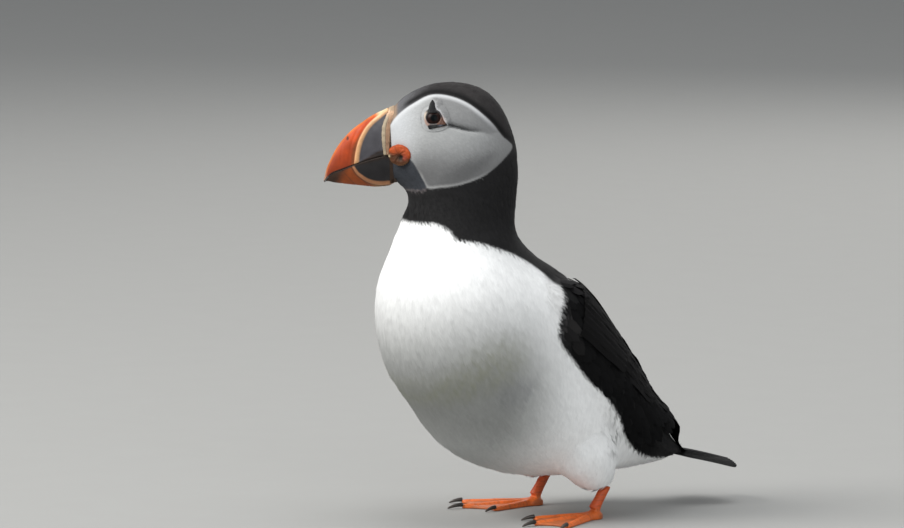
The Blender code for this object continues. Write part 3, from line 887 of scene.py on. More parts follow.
# %% Paint the face
def shade_disc(side_view, disc):
    """The greys of the face disc: paler at its front, painted light along its upper edge and the
    fold's edge, painted shade to the rear, below, in the furrow and under the fold, and a pale
    fringe.
    """
    ahead, up = side_view.T
    # paler toward the bill: partly the face's own colour, partly painted light
    shade = over(plain(FACE_MIDDLE, len(ahead)), FACE_FRONT_AND_LIGHT, ease(ahead, 17.0, 31.0) * 0.85)
    gap, share = to_line(side_view, FURROW_LINE)
    furrow_up = np.interp(-ahead, -FURROW_LINE[:, 0], FURROW_LINE[:, 1])
    fold_ahead = np.interp(up, FOLD_LINE[::-1, 1], FOLD_LINE[::-1, 0])
    over_line = ease(up - furrow_up, -0.2, 0.4) * np.exp(-gap / 2.2)
    edge_gap, edge_share = to_line(side_view, FOLD_LINE)
    reach = ease(share, -0.05, 0.06) * fade(share, 0.45, 1.0)
    fringe = fade(disc, 0.4, 1.8) * ease(166.0 - up, 0.0, 5.0)
    return layered(
        shade,
        # greyer toward the rear and below: partly the face's own grey, partly painted shade
        (FACE_REAR_AND_SHADE, ease(-ahead - 0.35 * (up - 175.0), 0.0, 20.0) * 0.5),
        # painted shade on the lower face
        (FACE_REAR_AND_SHADE, ease(182.0 - up, 0.0, 16.0) * 0.8 * fade(ahead, 18, 30)),
        # painted shade on the lower front of the face
        (LOW_FACE_SHADE, ease(176.0 - up, 0.0, 17.0) * ease(ahead, -4.0, 9.0) * 0.7),
        (CHEEK_DARK, spot(side_view, (-0.5, 164.6), (17.0, 7.5), -28.0) * 0.75),
        (CHEEK_DARK, spot(side_view, (-10.5, 170.5), (9.0, 3.6), -32.0) * 0.35),
        # the fold above the furrow, partly painted shade
        (FOLD_GREY_AND_SHADE, ease(up - furrow_up, 0.0, 0.8) * ease(fold_ahead - ahead, 0.0, 1.2) * 0.9),
        # painted light along the disc's upper edge
        (FACE_EDGE_LIGHT, ease(-disc, -2.3, -0.3) * ease(up, 180.0, 192.0) * 0.8),
        # painted highlight along the fold's front edge
        (FACE_FRONT_AND_LIGHT, groove(edge_gap, 0.55) * ease(edge_share, 0.1, 0.5)),
        # painted shadow above the eye, beside the top of its plate
        (FACE_REAR_AND_SHADE, spot(side_view, (12.2, 197.2), (3.2, 1.1), 8.0) * 0.6),
        # painted shade under the fold's overhang, and in the furrow itself
        (FURROW_SHADE, over_line * reach * 0.55),
        (FURROW_SHADE, groove(gap, 0.55) * reach),
        (FRINGE, fringe * 0.8))


def paint_face(colour, place):
    """The face disc and the chin, with their edges, over the black hood."""
    side_view = place[:, (0, 2)]
    ahead, up = side_view.T
    on_head = up > HEAD_ABOVE
    disc = depth_inside(side_view, FACE_LINE)
    rim = groove(disc + 1.3, 1.2) * ease(up, 172.0, 184.0) * fade(ahead, 24.0, 30.0)
    chin = depth_inside(side_view, CHIN_LINE)
    hem = groove(chin - 0.2, 0.45) * fade(up, 155.6, 157.4)
    return layered(
        colour,
        (CROWN, on_head * ease(up, 165.0, 190.0)),
        (FOREHEAD, on_head * ease(ahead, 12.0, 31.0) * ease(up, 176.0, 196.0)),
        (BROW_TAN, on_head * ease(ahead, 29.4, 31.2) * ease(up, 184.0, 189.0)),
        (RIM_BLACK, rim * on_head * 0.95),
        (shade_disc(side_view, disc), ease(disc, -0.35, 0.35) * on_head),
        (CHIN_GREY, ease(chin, -0.3, 0.4) * on_head),
        (CHIN_HEM, hem * on_head * 0.8)), disc


def paint(points):
    """The colour of the plumage at points of the bird, and distances from its borders."""
    colour, dark = paint_trunk(in_trunk(points))
    colour, disc = paint_face(colour, in_head(points))
    return colour, dark, disc


colours, dark_depth, disc_depth = paint(skin_points)
store_colour(skin_mesh, "plumage", colours)
print("dark share of the skin:", round(float((dark_depth > 0).mean()), 2))

# %% [markdown]
# A contour feather is soft at its edge: what shows of it is a small fan of loose barbs. Each
# plume here is such a fan, drawn once at unit size with its root at the origin, its tip
# along +Y and its face up. Back and wings wear firm, rounded blades instead. A few versions
# of each, all slightly ragged in their own way, are enough, because every copy is also
# turned, tilted and stretched a little.

# %% Plumes
PLUME_VERSIONS = 4
PATCH = 0.003  # of the map, for one plume


def plume_mesh(name, barbs, fan, ragged, arch, cup, seed):
    """A fan of flat barbs: how wide it opens, how ragged its end, how it arches and cups."""
    rng = np.random.default_rng(seed)
    verts, faces, along, patch = [], [], [], []
    for i in range(barbs):
        across = (i + 0.5) / barbs * 2 - 1
        length = 1.0 - ragged * across ** 2 - rng.uniform(0, ragged * 0.8)
        stray = rng.uniform(-0.9, 0.9) / barbs
        start = len(verts)
        for level, wide in ((0.0, 0.55), (0.55, 0.8), (1.0, 0.0)):
            x = 0.5 * across * (0.3 + (fan - 0.3) * level ** 0.8) + stray * level * fan
            z = arch * math.sin(math.pi * level * 0.8) - cup * across ** 2 * level
            half = wide * fan / barbs * 0.62
            for edge in ((-1, 1) if half else (0,)):
                verts.append((x + edge * half, length * level, z))
                along.append(level)
                patch.append((0.5 + x + edge * half, level, 0.0))
        faces += [(start, start + 1, start + 3, start + 2), (start + 2, start + 3, start + 4)]
    mesh = smooth_mesh(name, verts, faces)
    store(mesh, "along", along)
    store(mesh, "patch", np.clip(patch, 0, 1), "FLOAT_VECTOR")
    return mesh


def vane_mesh(name, rows, columns, blunt, arch, cup, notch, seed):
    """A firm feather: a rounded blade with a shaft down its middle."""
    rng = np.random.default_rng(seed)
    levels = np.linspace(0, 1, rows) ** 0.8
    across = np.linspace(-1, 1, columns)
    wide = np.where(levels < 0.5, 0.34 + 0.66 * np.sin(levels * math.pi),
                    np.sqrt(np.clip(1 - np.clip((levels - 0.5) / 0.5, 0, 1) ** blunt, 0, 1)))
    wide[-1] = 0.16
    grid = np.empty((rows, columns, 3))
    for r, (level, w) in enumerate(zip(levels, wide)):
        fray = rng.uniform(-notch, notch, columns) * (level > 0.8)
        grid[r, :, 0] = 0.5 * across * w
        grid[r, :, 1] = level - 0.05 * across ** 2 * level + fray
        shaft = 0.03 * np.exp(-(across / 0.15) ** 2)
        dome = arch * math.sin(math.pi * level) - cup * across ** 2 * w
        grid[r, :, 2] = dome + shaft * (level < 0.95)
    mesh = grid_mesh(name, grid)
    store(mesh, "along", np.repeat(levels, columns))
    patch = np.stack((np.tile(across / 2 + 0.5, rows), np.repeat(levels, columns),
                      np.zeros(rows * columns)), 1)
    store(mesh, "patch", patch, "FLOAT_VECTOR")
    return mesh


def collection_of(name, make):
    """A collection with a few versions of one shape, made with seeds of their own."""
    group = bpy.data.collections.new(name)
    for seed in range(PLUME_VERSIONS):
        made = bpy.data.objects.new(f"{name} {seed}", make(f"{name} {seed}", seed))
        group.objects.link(made)
    bpy.context.scene.collection.children.link(group)
    return group


PLUMES = {
    "down": collection_of("down", lambda n, s: plume_mesh(n, 7, 0.9, 0.40, 0.003, 0.002, s)),
    "soft": collection_of("soft", lambda n, s: plume_mesh(n, 13, 1.0, 0.40, 0.005, 0.005, s)),
    "firm": collection_of("firm", lambda n, s: vane_mesh(n, 6, 5, 2.2, 0.05, 0.10, 0.03, s)),
}

# %% [markdown]
# Node trees hold both the laying of the plumage and its finish. They are long to write out
# socket by socket, so a few short words come first: one puts a node down and feeds its
# sockets, others add, scale, store or draw a number by chance.

# %% Words for building node trees

def feed(tree, sockets, values):
    """Joins each socket to another one, or gives it a value."""
    for socket, value in zip(sockets, values):
        if isinstance(value, bpy.types.NodeSocket):
            tree.links.new(value, socket)
        else:
            socket.default_value = value


def put(tree, kind, sockets=None, **settings):
    """Adds a node, sets it up, and feeds its sockets by their names."""
    made = tree.nodes.new(kind)
    for name, value in settings.items():
        setattr(made, name, value)
    for name, value in (sockets or {}).items():
        feed(tree, (made.inputs[name],), (value,))
    return made


def sums(tree, operation, *values, kind="ShaderNodeMath"):
    """A maths node's result."""
    made = put(tree, kind, operation=operation)
    feed(tree, made.inputs, values)
    return made.outputs[0]


def vector_sums(tree, operation, *values):
    return sums(tree, operation, *values, kind="ShaderNodeVectorMath")


def times_number(tree, vector, number):
    """A vector or a colour, times a number."""
    made = put(tree, "ShaderNodeVectorMath", {"Scale": number}, operation="SCALE")
    tree.links.new(vector, made.inputs[0])
    return made.outputs[0]


def named(tree, name, kind):
    made = put(tree, "GeometryNodeInputNamedAttribute", {"Name": name}, data_type=kind)
    return made.outputs["Attribute"]


def keep_as(tree, geometry, name, value, kind, domain="POINT"):
    """The geometry with a value kept on it under a name."""
    made = put(tree, "GeometryNodeStoreNamedAttribute",
               {"Geometry": geometry, "Name": name, "Value": value}, data_type=kind, domain=domain)
    return made.outputs[0]


def of_type(sockets, kind):
    return [socket for socket in sockets if socket.type == kind]


def chance(tree, low, high, seed, offset):
    """A number of its own for every root."""
    mixed = sums(tree, "ADD", seed, offset)
    made = put(tree, "FunctionNodeRandomValue", {"Seed": mixed}, data_type="FLOAT")
    feed(tree, of_type(made.inputs, "VALUE"), (low, high))
    return of_type(made.outputs, "VALUE")[0]


print("chance, sums and stored values are ready for", len(PLUMES), "kinds of plume")

# %% [markdown]
# One tree of Geometry Nodes lays every coat. It keeps one tract of the skin, scatters roots
# over it a set gap apart, stands a plume on each root along the lie of the feathers, lifts it
# off the skin by a small angle and gives it a place on the map round its own root.

# %% The tree that lays plumage
CROWDING = 1.3  # roots tried in each square of the gap
MOST_ROLL = 0.10  # radians
LAY_INPUTS = (
    ("Tract", "NodeSocketInt"), ("Plumes", "NodeSocketCollection"),
    ("Gap", "NodeSocketFloat"), ("Length", "NodeSocketFloat"), ("Width", "NodeSocketFloat"),
    ("Lift", "NodeSocketFloat"), ("Sway", "NodeSocketFloat"), ("Uneven", "NodeSocketFloat"),
    ("Seed", "NodeSocketInt"), ("Finish", "NodeSocketMaterial"),
)


def lay_tree():
    tree = bpy.data.node_groups.new("lay plumage", "GeometryNodeTree")
    tree.interface.new_socket("Geometry", in_out="INPUT", socket_type="NodeSocketGeometry")
    for name, kind in LAY_INPUTS:
        tree.interface.new_socket(name, in_out="INPUT", socket_type=kind)
    tree.interface.new_socket("Geometry", in_out="OUTPUT", socket_type="NodeSocketGeometry")
    given = tree.nodes.new("NodeGroupInput").outputs
    seed = given["Seed"]
    same_tract = put(tree, "FunctionNodeCompare", data_type="INT", operation="EQUAL")
    feed(tree, of_type(same_tract.inputs, "INT"), (named(tree, "tract", "INT"), given["Tract"]))
    kept = put(tree, "GeometryNodeSeparateGeometry",
               {"Geometry": given["Geometry"], "Selection": same_tract.outputs[0]}, domain="FACE")
    thick = sums(tree, "DIVIDE", CROWDING, sums(tree, "MULTIPLY", given["Gap"], given["Gap"]))
    roots = put(tree, "GeometryNodeDistributePointsOnFaces",
                {"Mesh": kept.outputs["Selection"], "Distance Min": given["Gap"],
                 "Density Max": thick, "Density Factor": named(tree, "cover", "FLOAT"),
                 "Seed": seed}, distribute_method="POISSON")
    tone = chance(tree, -1.0, 1.0, seed, 11)
    toned = keep_as(tree, roots.outputs["Points"], "tone", tone, "FLOAT")
    facing = keep_as(tree, toned, "skin_facing", named(tree, "facing", "FLOAT_VECTOR"),
                     "FLOAT_VECTOR")
    stand = put(tree, "FunctionNodeAxesToRotation",
                {"Primary Axis": roots.outputs["Normal"],
                 "Secondary Axis": named(tree, "lie", "FLOAT_VECTOR")},
                primary_axis="Z", secondary_axis="Y")
    lift = sums(tree, "MULTIPLY", given["Lift"], chance(tree, 0.5, 1.5, seed, 23))
    sway = sums(tree, "MULTIPLY", given["Sway"], chance(tree, -1.0, 1.0, seed, 37))
    roll = chance(tree, -MOST_ROLL, MOST_ROLL, seed, 41)
    angles = put(tree, "ShaderNodeCombineXYZ", {"X": lift, "Y": roll, "Z": sway})
    own = put(tree, "FunctionNodeEulerToRotation", {"Euler": angles.outputs[0]})
    turned = put(tree, "FunctionNodeRotateRotation",
                 {"Rotation": stand.outputs[0], "Rotate By": own.outputs[0]},
                 rotation_space="LOCAL")
    low = sums(tree, "SUBTRACT", 1.0, given["Uneven"])
    high = sums(tree, "ADD", 1.0, given["Uneven"])
    size = sums(tree, "MULTIPLY", named(tree, "coat_size", "FLOAT"),
                chance(tree, low, high, seed, 53))
    length = sums(tree, "MULTIPLY", size, given["Length"])
    width = sums(tree, "MULTIPLY", size, given["Width"])
    scale = put(tree, "ShaderNodeCombineXYZ", {"X": width, "Y": length, "Z": length})
    version = put(tree, "FunctionNodeRandomValue", {"Seed": seed}, data_type="INT")
    feed(tree, of_type(version.inputs, "INT"), (0, PLUME_VERSIONS - 1))
    shapes = put(tree, "GeometryNodeCollectionInfo",
                 {"Collection": given["Plumes"], "Separate Children": True, "Reset Children": True})
    copies = put(tree, "GeometryNodeInstanceOnPoints",
                 {"Points": facing, "Instance": shapes.outputs[0], "Pick Instance": True,
                  "Instance Index": of_type(version.outputs, "INT")[0],
                  "Rotation": turned.outputs[0], "Scale": scale.outputs[0]})
    real = put(tree, "GeometryNodeRealizeInstances", {"Geometry": copies.outputs[0]})
    centred = vector_sums(tree, "SUBTRACT", named(tree, "patch", "FLOAT_VECTOR"), (0.5, 0.5, 0.0))
    place = vector_sums(tree, "ADD", named(tree, "place_on_skin", "FLOAT_VECTOR"),
                        times_number(tree, centred, PATCH))
    mapped = keep_as(tree, real.outputs[0], "OFBake", place, "FLOAT2", "CORNER")
    painted = put(tree, "GeometryNodeSetMaterial", {"Geometry": mapped, "Material": given["Finish"]})
    result = tree.nodes.new("NodeGroupOutput")
    tree.links.new(painted.outputs[0], result.inputs[0])
    return tree


LAY_PLUMAGE = lay_tree()
print("nodes in the tree:", len(LAY_PLUMAGE.nodes))

# %% [markdown]
# Plumage is matt, and it is never one flat colour: barbs are darker at the root, partly the
# grey of their down and partly painted shade, each feather has a tone of its own, and dark
# feathers get a little painted sheen at their tips. One node group does this for every coat
# from what is stored on the feathers: the painted colour, the place along the barb, the
# feather's own tone, and the way that the skin beneath it faces, which lets thousands of
# small plumes read as one soft surface.

# %% Finish of the plumage
STREAK_SCALE = (900.0, 900.0, 260.0)
SMOOTHNESS = 5.0  # how much more a plume is shaded by the skin's facing than by its own


def shader_group(name, inputs, outputs):
    group = bpy.data.node_groups.new(name, "ShaderNodeTree")
    for label, kind, value in inputs:
        group.interface.new_socket(label, in_out="INPUT", socket_type=kind).default_value = value
    for label, kind in outputs:
        group.interface.new_socket(label, in_out="OUTPUT", socket_type=kind)
    given = group.nodes.new("NodeGroupInput").outputs
    return group, given, group.nodes.new("NodeGroupOutput").inputs


def attribute(tree, name, output="Fac"):
    return put(tree, "ShaderNodeAttribute", attribute_name=name).outputs[output]


def object_place(tree):
    return put(tree, "ShaderNodeTexCoord").outputs["Object"]


def noise(tree, place, scale, detail, roughness=0.5):
    made = put(tree, "ShaderNodeTexNoise", {"Vector": place, "Scale": scale, "Detail": detail,
                                            "Roughness": roughness})
    return made.outputs["Fac"]


def scaled(tree, value, low, high, new_low, new_high):
    """A value moved from one range to another."""
    made = put(tree, "ShaderNodeMapRange", {"Value": value, "From Min": low, "From Max": high,
                                            "To Min": new_low, "To Max": new_high})
    return made.outputs[0]


def barb_group():
    group, given, result = shader_group(
        "barb tone",
        (("Root shade", "NodeSocketFloat", 0.8), ("Feather tone", "NodeSocketFloat", 0.06),
         ("Tip light", "NodeSocketFloat", 0.0)),
        (("Color", "NodeSocketColor"), ("Roughness", "NodeSocketFloat"),
         ("Normal", "NodeSocketVector")))
    along = attribute(group, "along")
    stretched = put(group, "ShaderNodeMapping",
                    {"Vector": object_place(group), "Scale": STREAK_SCALE})
    streaks = noise(group, stretched.outputs[0], 1.0, 2.0)
    # darker toward the root: partly the down's own grey, partly painted shade
    shade = put(group, "ShaderNodeMapRange", {"Value": along, "To Min": given["Root shade"]})
    varied = sums(group, "MULTIPLY_ADD", attribute(group, "tone"), given["Feather tone"], 1.0)
    streaked = sums(group, "MULTIPLY", varied, scaled(group, streaks, 0.3, 0.7, 0.96, 1.04))
    total = sums(group, "MULTIPLY", shade.outputs[0], streaked)
    toned = times_number(group, attribute(group, "plumage", "Color"), total)
    # painted sheen toward the tips of dark feathers
    tip_sheen = sums(group, "MULTIPLY", sums(group, "POWER", along, 3.0), given["Tip light"])
    skin_way = times_number(group, attribute(group, "skin_facing", "Vector"), SMOOTHNESS)
    own_way = put(group, "ShaderNodeNewGeometry").outputs["Normal"]
    both_ways = vector_sums(group, "ADD", skin_way, own_way)
    feed(group, (result["Color"], result["Roughness"], result["Normal"]),
         (vector_sums(group, "ADD", toned, tip_sheen), scaled(group, streaks, 0.3, 0.7, 0.72, 0.86),
          vector_sums(group, "NORMALIZE", both_ways)))
    return group


BARB_TONE = barb_group()


def plumage_finish(name, root_shade, feather_tone, tip_sheen_amount, specular):
    made, tree, inputs = material_with(name, 0.8, specular)
    tone = put(tree, "ShaderNodeGroup", node_tree=BARB_TONE)
    feed(tree, tone.inputs, (root_shade, feather_tone, tip_sheen_amount))
    feed(tree, (inputs["Base Color"], inputs["Roughness"], inputs["Normal"]), tone.outputs)
    return made


PALE_PLUMAGE = plumage_finish("pale plumage", 0.93, 0.05, 0.0, 0.1)
FACE_PLUMAGE = plumage_finish("face plumage", 0.93, 0.05, 0.0, 0.1)
DARK_PLUMAGE = plumage_finish("dark plumage", 0.8, 0.18, 0.002, 0.22)
WING_PLUMAGE = plumage_finish("wing plumage", 0.8, 0.30, 0.0004, 0.07)
print("finishes:", [m.name for m in bpy.data.materials])

# %% [markdown]
# The bird's tracts differ in their plumes. They are short and hair-fine on the face, longer
# and looser on the breast and belly, and firm and rounded on the back and wings. Bare places
# grow nothing: the eye with its lids and horn, and the rosette. Plumes are smaller beside
# those, along the pattern's borders and where the skin bends sharply.

# %% Tracts, bare places and plume sizes
TRACTS = ("face", "hood", "neck", "breast left", "breast right", "belly", "back", "rump", "thighs",
          "wings")
TRACT_NUMBER = {name: number for number, name in enumerate(TRACTS)}
TRACT_OF_SOLID = {"head": "hood", "neck": "neck", "back": "back", "breast": "breast left",
                  "rump": "rump", "belly": "belly", "thigh_left": "thighs",
                  "thigh_right": "thighs", "wing_left": "wings", "wing_right": "wings"}
BARE_PATCH = ((17.3, 189.4), (16.7, 186.4), (15.6, 183.6), (11.2, 184.3), (7.2, 185.1),
              (7.2, 187.2), (8.4, 190.6), (10.4, 192.8), (12.0, 195.4), (13.9, 196.9),
              (15.5, 195.2), (16.3, 192.4))
ROSETTE_SPOT = (29.2, 171.4)
BARE_ROSETTE = 4.3
BARE_EYE = 6.3
BILL_ROOT = 33.0  # mm ahead
DISC_RIM = 0.3  # mm outside the disc that still wear the face's plumes
NECK_RIM = 0.2
SOFT_EDGE = 2.6  # mm of the wings' dark edge that still wear soft plumes
SOFT_ROUNDS = 16
BEND_ROUNDS = 18

side_places = head_mm[:, (0, 2)]
rosette_gap = np.linalg.norm(side_places - ROSETTE_SPOT, axis=1)
eye_gap = -depth_inside(side_places, smooth_line(BARE_PATCH))
from_bill = BILL_ROOT - head_mm[:, 0]
on_head = head_mm[:, 2] > FINE_ABOVE
cover = np.ones(len(skin_points))
cover *= ease(eye_gap, -0.1, 0.3) * ease(rosette_gap, BARE_ROSETTE, BARE_ROSETTE + 0.4)
cover *= ease(eye_distance(skin_points), BARE_EYE, BARE_EYE + 0.3) + (eye_gap > 4.0)

coat_size = np.ones(len(skin_points))
near_bill = fade(from_bill, 0.0, 14.0)
for head_size in (1.0 - 0.45 * near_bill, 0.55 + 0.45 * ease(eye_gap, 0.3, 4.0),
                  0.6 + 0.4 * ease(rosette_gap, 4.0, 7.0),
                  0.42 + 0.58 * ease(np.abs(disc_depth), 0.5, 4.0)):
    coat_size *= np.where(on_head, head_size, 1.0)
coat_size *= 1.0 - 0.5 * ~on_head * fade(np.abs(dark_depth), 0.5, 6.0)

facing = relaxed(skin_normals, skin_edges, 2)
soft = ~on_head & (dark_depth < 1.0)
facing = np.where(soft[:, None], relaxed(facing, skin_edges, SOFT_ROUNDS), facing)
facing /= np.linalg.norm(facing, axis=1)[:, None]
even = relaxed(skin_normals, skin_edges, BEND_ROUNDS)
even /= np.linalg.norm(even, axis=1)[:, None]
bent = relaxed(1.0 - (even * skin_normals).sum(axis=1)[:, None], skin_edges, 3)[:, 0]
coat_size *= 1.0 - 0.7 * ~on_head * ease(bent, 0.02, 0.16)
store(skin_mesh, "facing", facing, "FLOAT_VECTOR")
store(skin_mesh, "cover", np.clip(cover, 0, 1))
store(skin_mesh, "coat_size", coat_size)


triangles = corner_points(skin_mesh).reshape(-1, 3)
face_dark = dark_depth[triangles].mean(axis=1)
nearest = nearest_solid(skin_points[triangles].mean(axis=1), FLESH)
tract = np.array([TRACT_NUMBER[TRACT_OF_SOLID[name]] for name in FLESH])[nearest]
on_disc = disc_depth[triangles].mean(axis=1) > -DISC_RIM
on_hood = np.isin(tract, (TRACT_NUMBER["hood"], TRACT_NUMBER["neck"]))
tract[on_hood & on_disc] = TRACT_NUMBER["face"]
on_right = trunk_mm[triangles].mean(axis=1)[:, 1] < 0
front_side = np.where(on_right, TRACT_NUMBER["breast right"], TRACT_NUMBER["breast left"])
firm = np.isin(tract, (TRACT_NUMBER["wings"], TRACT_NUMBER["back"]))
pale = firm & (face_dark < SOFT_EDGE) | (tract == TRACT_NUMBER["neck"]) & (face_dark < -NECK_RIM)
tract = np.where(pale | (tract == TRACT_NUMBER["breast left"]), front_side, tract)
store(skin_mesh, "tract", tract, "INT", "FACE")
sides = skin_points[triangles]
areas = np.linalg.norm(np.cross(sides[:, 1] - sides[:, 0], sides[:, 2] - sides[:, 0]), axis=1) / 2
print("tract areas, square mm:",
      {name: int(areas[tract == i].sum() / MM ** 2) for i, name in enumerate(TRACTS)})

# %% [markdown]
# Each coat is laid on its own tract with its own plume, spacing, length and lift, and is
# then turned into a plain mesh that follows the bird's one body. White barbs let most of the
# light through, where solid ones would shade each other to grey, so the white coats neither
# cast shadow nor stop bounced light: the skin beneath them, of the same shape, does both.

# %% Lay the coats
COATS = (  # name, tract, plumes, gap, length, width, lift, sway, uneven, finish, slot
    ("face_plumage", "face", "down", 0.60, 2.2, 1.1, 1.3, 6, 0.2, FACE_PLUMAGE, "face_feathers"),
    ("hood_plumage", "hood", "down", 0.75, 3.0, 1.4, 2.0, 6, 0.2, DARK_PLUMAGE, "black_feathers"),
    ("neck_plumage", "neck", "down", 1.10, 4.6, 2.0, 3, 7, 0.2, DARK_PLUMAGE, "black_feathers"),
    ("breast_left", "breast left", "soft", 1.15, 7.0, 3.0, 1.6, 6, 0.25, PALE_PLUMAGE,
     "white_feathers"),
    ("breast_right", "breast right", "soft", 1.15, 7.0, 3.0, 1.6, 6, 0.25, PALE_PLUMAGE,
     "white_feathers"),
    ("belly_plumage", "belly", "soft", 1.25, 7.5, 3.4, 2, 7, 0.25, PALE_PLUMAGE, "white_feathers"),
    ("thigh_plumage", "thighs", "soft", 1.15, 5.5, 2.6, 2.5, 8, 0.25, PALE_PLUMAGE, "white_feathers"),
    ("back_plumage", "back", "firm", 2.2, 8.0, 5.0, 4, 6, 0.12, DARK_PLUMAGE, "black_feathers"),
    ("rump_plumage", "rump", "soft", 1.7, 8.0, 4.2, 4, 8, 0.2, DARK_PLUMAGE, "black_feathers"),
    ("wing_plumage", "wings", "firm", 2.8, 9.5, 5.8, 4, 5, 0.10, WING_PLUMAGE, "black_feathers"),
)
LET_LIGHT_THROUGH = ("white_feathers", "face_feathers")
USED_FOR_LAYING = ("place_on_skin", "patch", "lie", "cover", "coat_size", "tract", "heat", "facing")


def forget_laying(mesh):
    """Drops what was stored on a mesh only so that feathers could be laid on it."""
    for used in USED_FOR_LAYING:
        if used in mesh.attributes:
            mesh.attributes.remove(mesh.attributes[used])


def lay_coat(name, tract_name, plumes, gap, length, width, lift, sway, uneven, finish, slot, seed,
             base=skin_mesh):
    coat = add_object(name, base)
    laid = coat.modifiers.new("lay plumage", "NODES")
    laid.node_group = LAY_PLUMAGE
    values = {"Tract": TRACT_NUMBER[tract_name], "Plumes": PLUMES[plumes], "Gap": gap * MM,
              "Length": length * MM, "Width": width * MM, "Lift": math.radians(lift),
              "Sway": math.radians(sway), "Uneven": uneven, "Seed": seed, "Finish": finish}
    for item in LAY_PLUMAGE.interface.items_tree:
        if item.in_out == "INPUT" and item.name in values:
            laid[item.identifier] = values[item.name]
    mesh = evaluated_mesh(coat)
    coat.modifiers.clear()
    coat.data = mesh
    mesh.name = name
    forget_laying(mesh)
    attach(coat, "root")
    coat.visible_shadow = slot not in LET_LIGHT_THROUGH
    coat.visible_diffuse = slot not in LET_LIGHT_THROUGH
    mesh.calc_loop_triangles()
    print(name, "triangles:", len(mesh.loop_triangles))
    return coat


for seed, coat_row in enumerate(COATS):
    lay_coat(*coat_row, seed + 1)

# %% [markdown]
# The bill is a tall, thin wedge. Its ridge, its mouth line and its keel are smooth lines
# through a few stations, and each half is a loft between the mouth and one of the others,
# drawn fine enough that its bands and grooves can be painted and pressed into the surface.

# %% The bill's lines
CULMEN = ((32.6, 192.6), (35.4, 191.9), (43.3, 187.7), (51.8, 181.3), (57.8, 174.2),
          (62.3, 165.4), (64.2, 158.6))
MOUTH = ((33.8, 170.8), (36.2, 170.6), (43.0, 168.8), (50.0, 166.3), (55.6, 164.0),
         (60.4, 162.0), (64.0, 158.0))
GONYS = ((31.6, 158.0), (34.2, 156.2), (40.0, 155.6), (47.0, 156.2), (54.0, 156.9),
         (59.4, 157.6), (62.6, 158.4))
BILL_HALF_WIDTH = (7.9, 7.5, 6.2, 4.9, 3.7, 2.4, 0.9)
BILL_FLATNESS = 1.25
CERE_SWELL = 0.75
CERE_BULGE = 1.35
BILL_TIP = len(CULMEN) - 1.0
ROOT_REACH = 3.2  # mm of the bill's root that are sunk in the face
BILL_COLUMNS = 97
BILL_RIM = 0.97  # share of each half's girth beyond which nothing is pressed in


def bill_half(keel_line, times, swell, bulge, gape):
    """A grid over one half of the bill, in head millimetres, with its rows along the bill."""
    angles = np.linspace(-math.pi / 2, math.pi / 2, BILL_COLUMNS)
    toward_mouth = 1 - np.cos(angles)
    grid = np.empty((len(times), BILL_COLUMNS, 3))
    for row, time in enumerate(times):
        t = max(time, 0.0)
        keel = smooth_row(np.array(keel_line), t)
        mouth = smooth_row(np.array(MOUTH), t) - (0.0, gape)
        half = float(smooth_row(np.array(BILL_HALF_WIDTH), t)) + swell(time)
        keel = keel + (keel - mouth) * swell(time) / np.linalg.norm(keel - mouth)
        line = keel + (mouth - keel) * toward_mouth[:, None]
        grid[row, :, 0] = line[:, 0] + bulge(time) * np.sin(math.pi * toward_mouth)
        grid[row, :, 0] += min(time, 0.0) * ROOT_REACH
        grid[row, :, 1] = np.sign(angles) * half * np.abs(np.sin(angles)) ** BILL_FLATNESS
        grid[row, :, 2] = line[:, 1]
    return grid


def grid_outward(grid):
    """Unit vectors out of a grid's surface, pointing away from its own middle line."""
    along = np.gradient(grid, axis=0)
    across = np.gradient(grid, axis=1)
    out = np.cross(along, across)
    out /= np.maximum(np.linalg.norm(out, axis=2), 1e-9)[..., None]
    inside = grid.mean(axis=1, keepdims=True)
    return out * np.sign(((grid - inside) * out).sum(axis=2))[..., None]


def tidy_shell(mesh, distance=0.002):
    """Closes the poles of a shell and turns its faces outward."""
    shape = bmesh.new()
    shape.from_mesh(mesh)
    bmesh.ops.remove_doubles(shape, verts=shape.verts, dist=distance * MM)
    bmesh.ops.recalc_face_normals(shape, faces=shape.faces)
    shape.to_mesh(mesh)
    shape.free()
    mesh.shade_smooth()


def head_piece(name, grid, colour, finish, wrap=False):
    """A piece from a grid in head millimetres, with its colour on its points."""
    mesh = grid_mesh(name, to_world(grid), wrap=wrap)
    store_colour(mesh, "finish", colour)
    tidy_shell(mesh)
    piece = add_object(name, mesh, finish)
    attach(piece, "root")
    return piece


def closed_piece(name, grid, colour, finish):
    """The same, closed round the grid and over its two ends."""
    front, rear = (row.mean(axis=1, keepdims=True).repeat(grid.shape[1], 1)
                   for row in (grid[:1], grid[-1:]))
    capped = np.concatenate((front, grid, rear))
    colour = np.concatenate((colour[:1], colour, colour[-1:]))
    return head_piece(name, capped, colour, finish, wrap=True)


# %% [markdown]
# In summer the bill is banded. A slate wedge lies next to the face, a cream ridge curves up
# and back in front of it with a painted brown shadow in the groove along its front, and the
# rest is orange, redder toward the mouth, with a painted highlight along its top edge. The
# ridge and the orange both fade to peach where the bill meets the forehead. A crease runs
# through the slate above the mouth, and the mouth's edges are dark.

# %% Look of the upper bill
RIDGE = ((34.8, 191.2), (37.0, 189.7), (39.2, 187.9), (41.8, 185.7), (44.0, 183.2), (45.7, 180.4),
         (47.0, 177.6), (47.9, 174.9), (48.5, 172.1), (48.9, 169.3), (49.2, 165.0))
CREASE = ((46.4, 167.6), (42.9, 169.7), (39.0, 172.0), (36.3, 172.8))
GROOVES = ((3.4, 0.5, 0.10), (7.4, 0.5, 0.07))  # ahead of the ridge, half width and depth in mm
NICK = (53.1, 178.2)
ORANGE = (0.52, 0.061, 0.0065)
RED = (0.215, 0.032, 0.008)
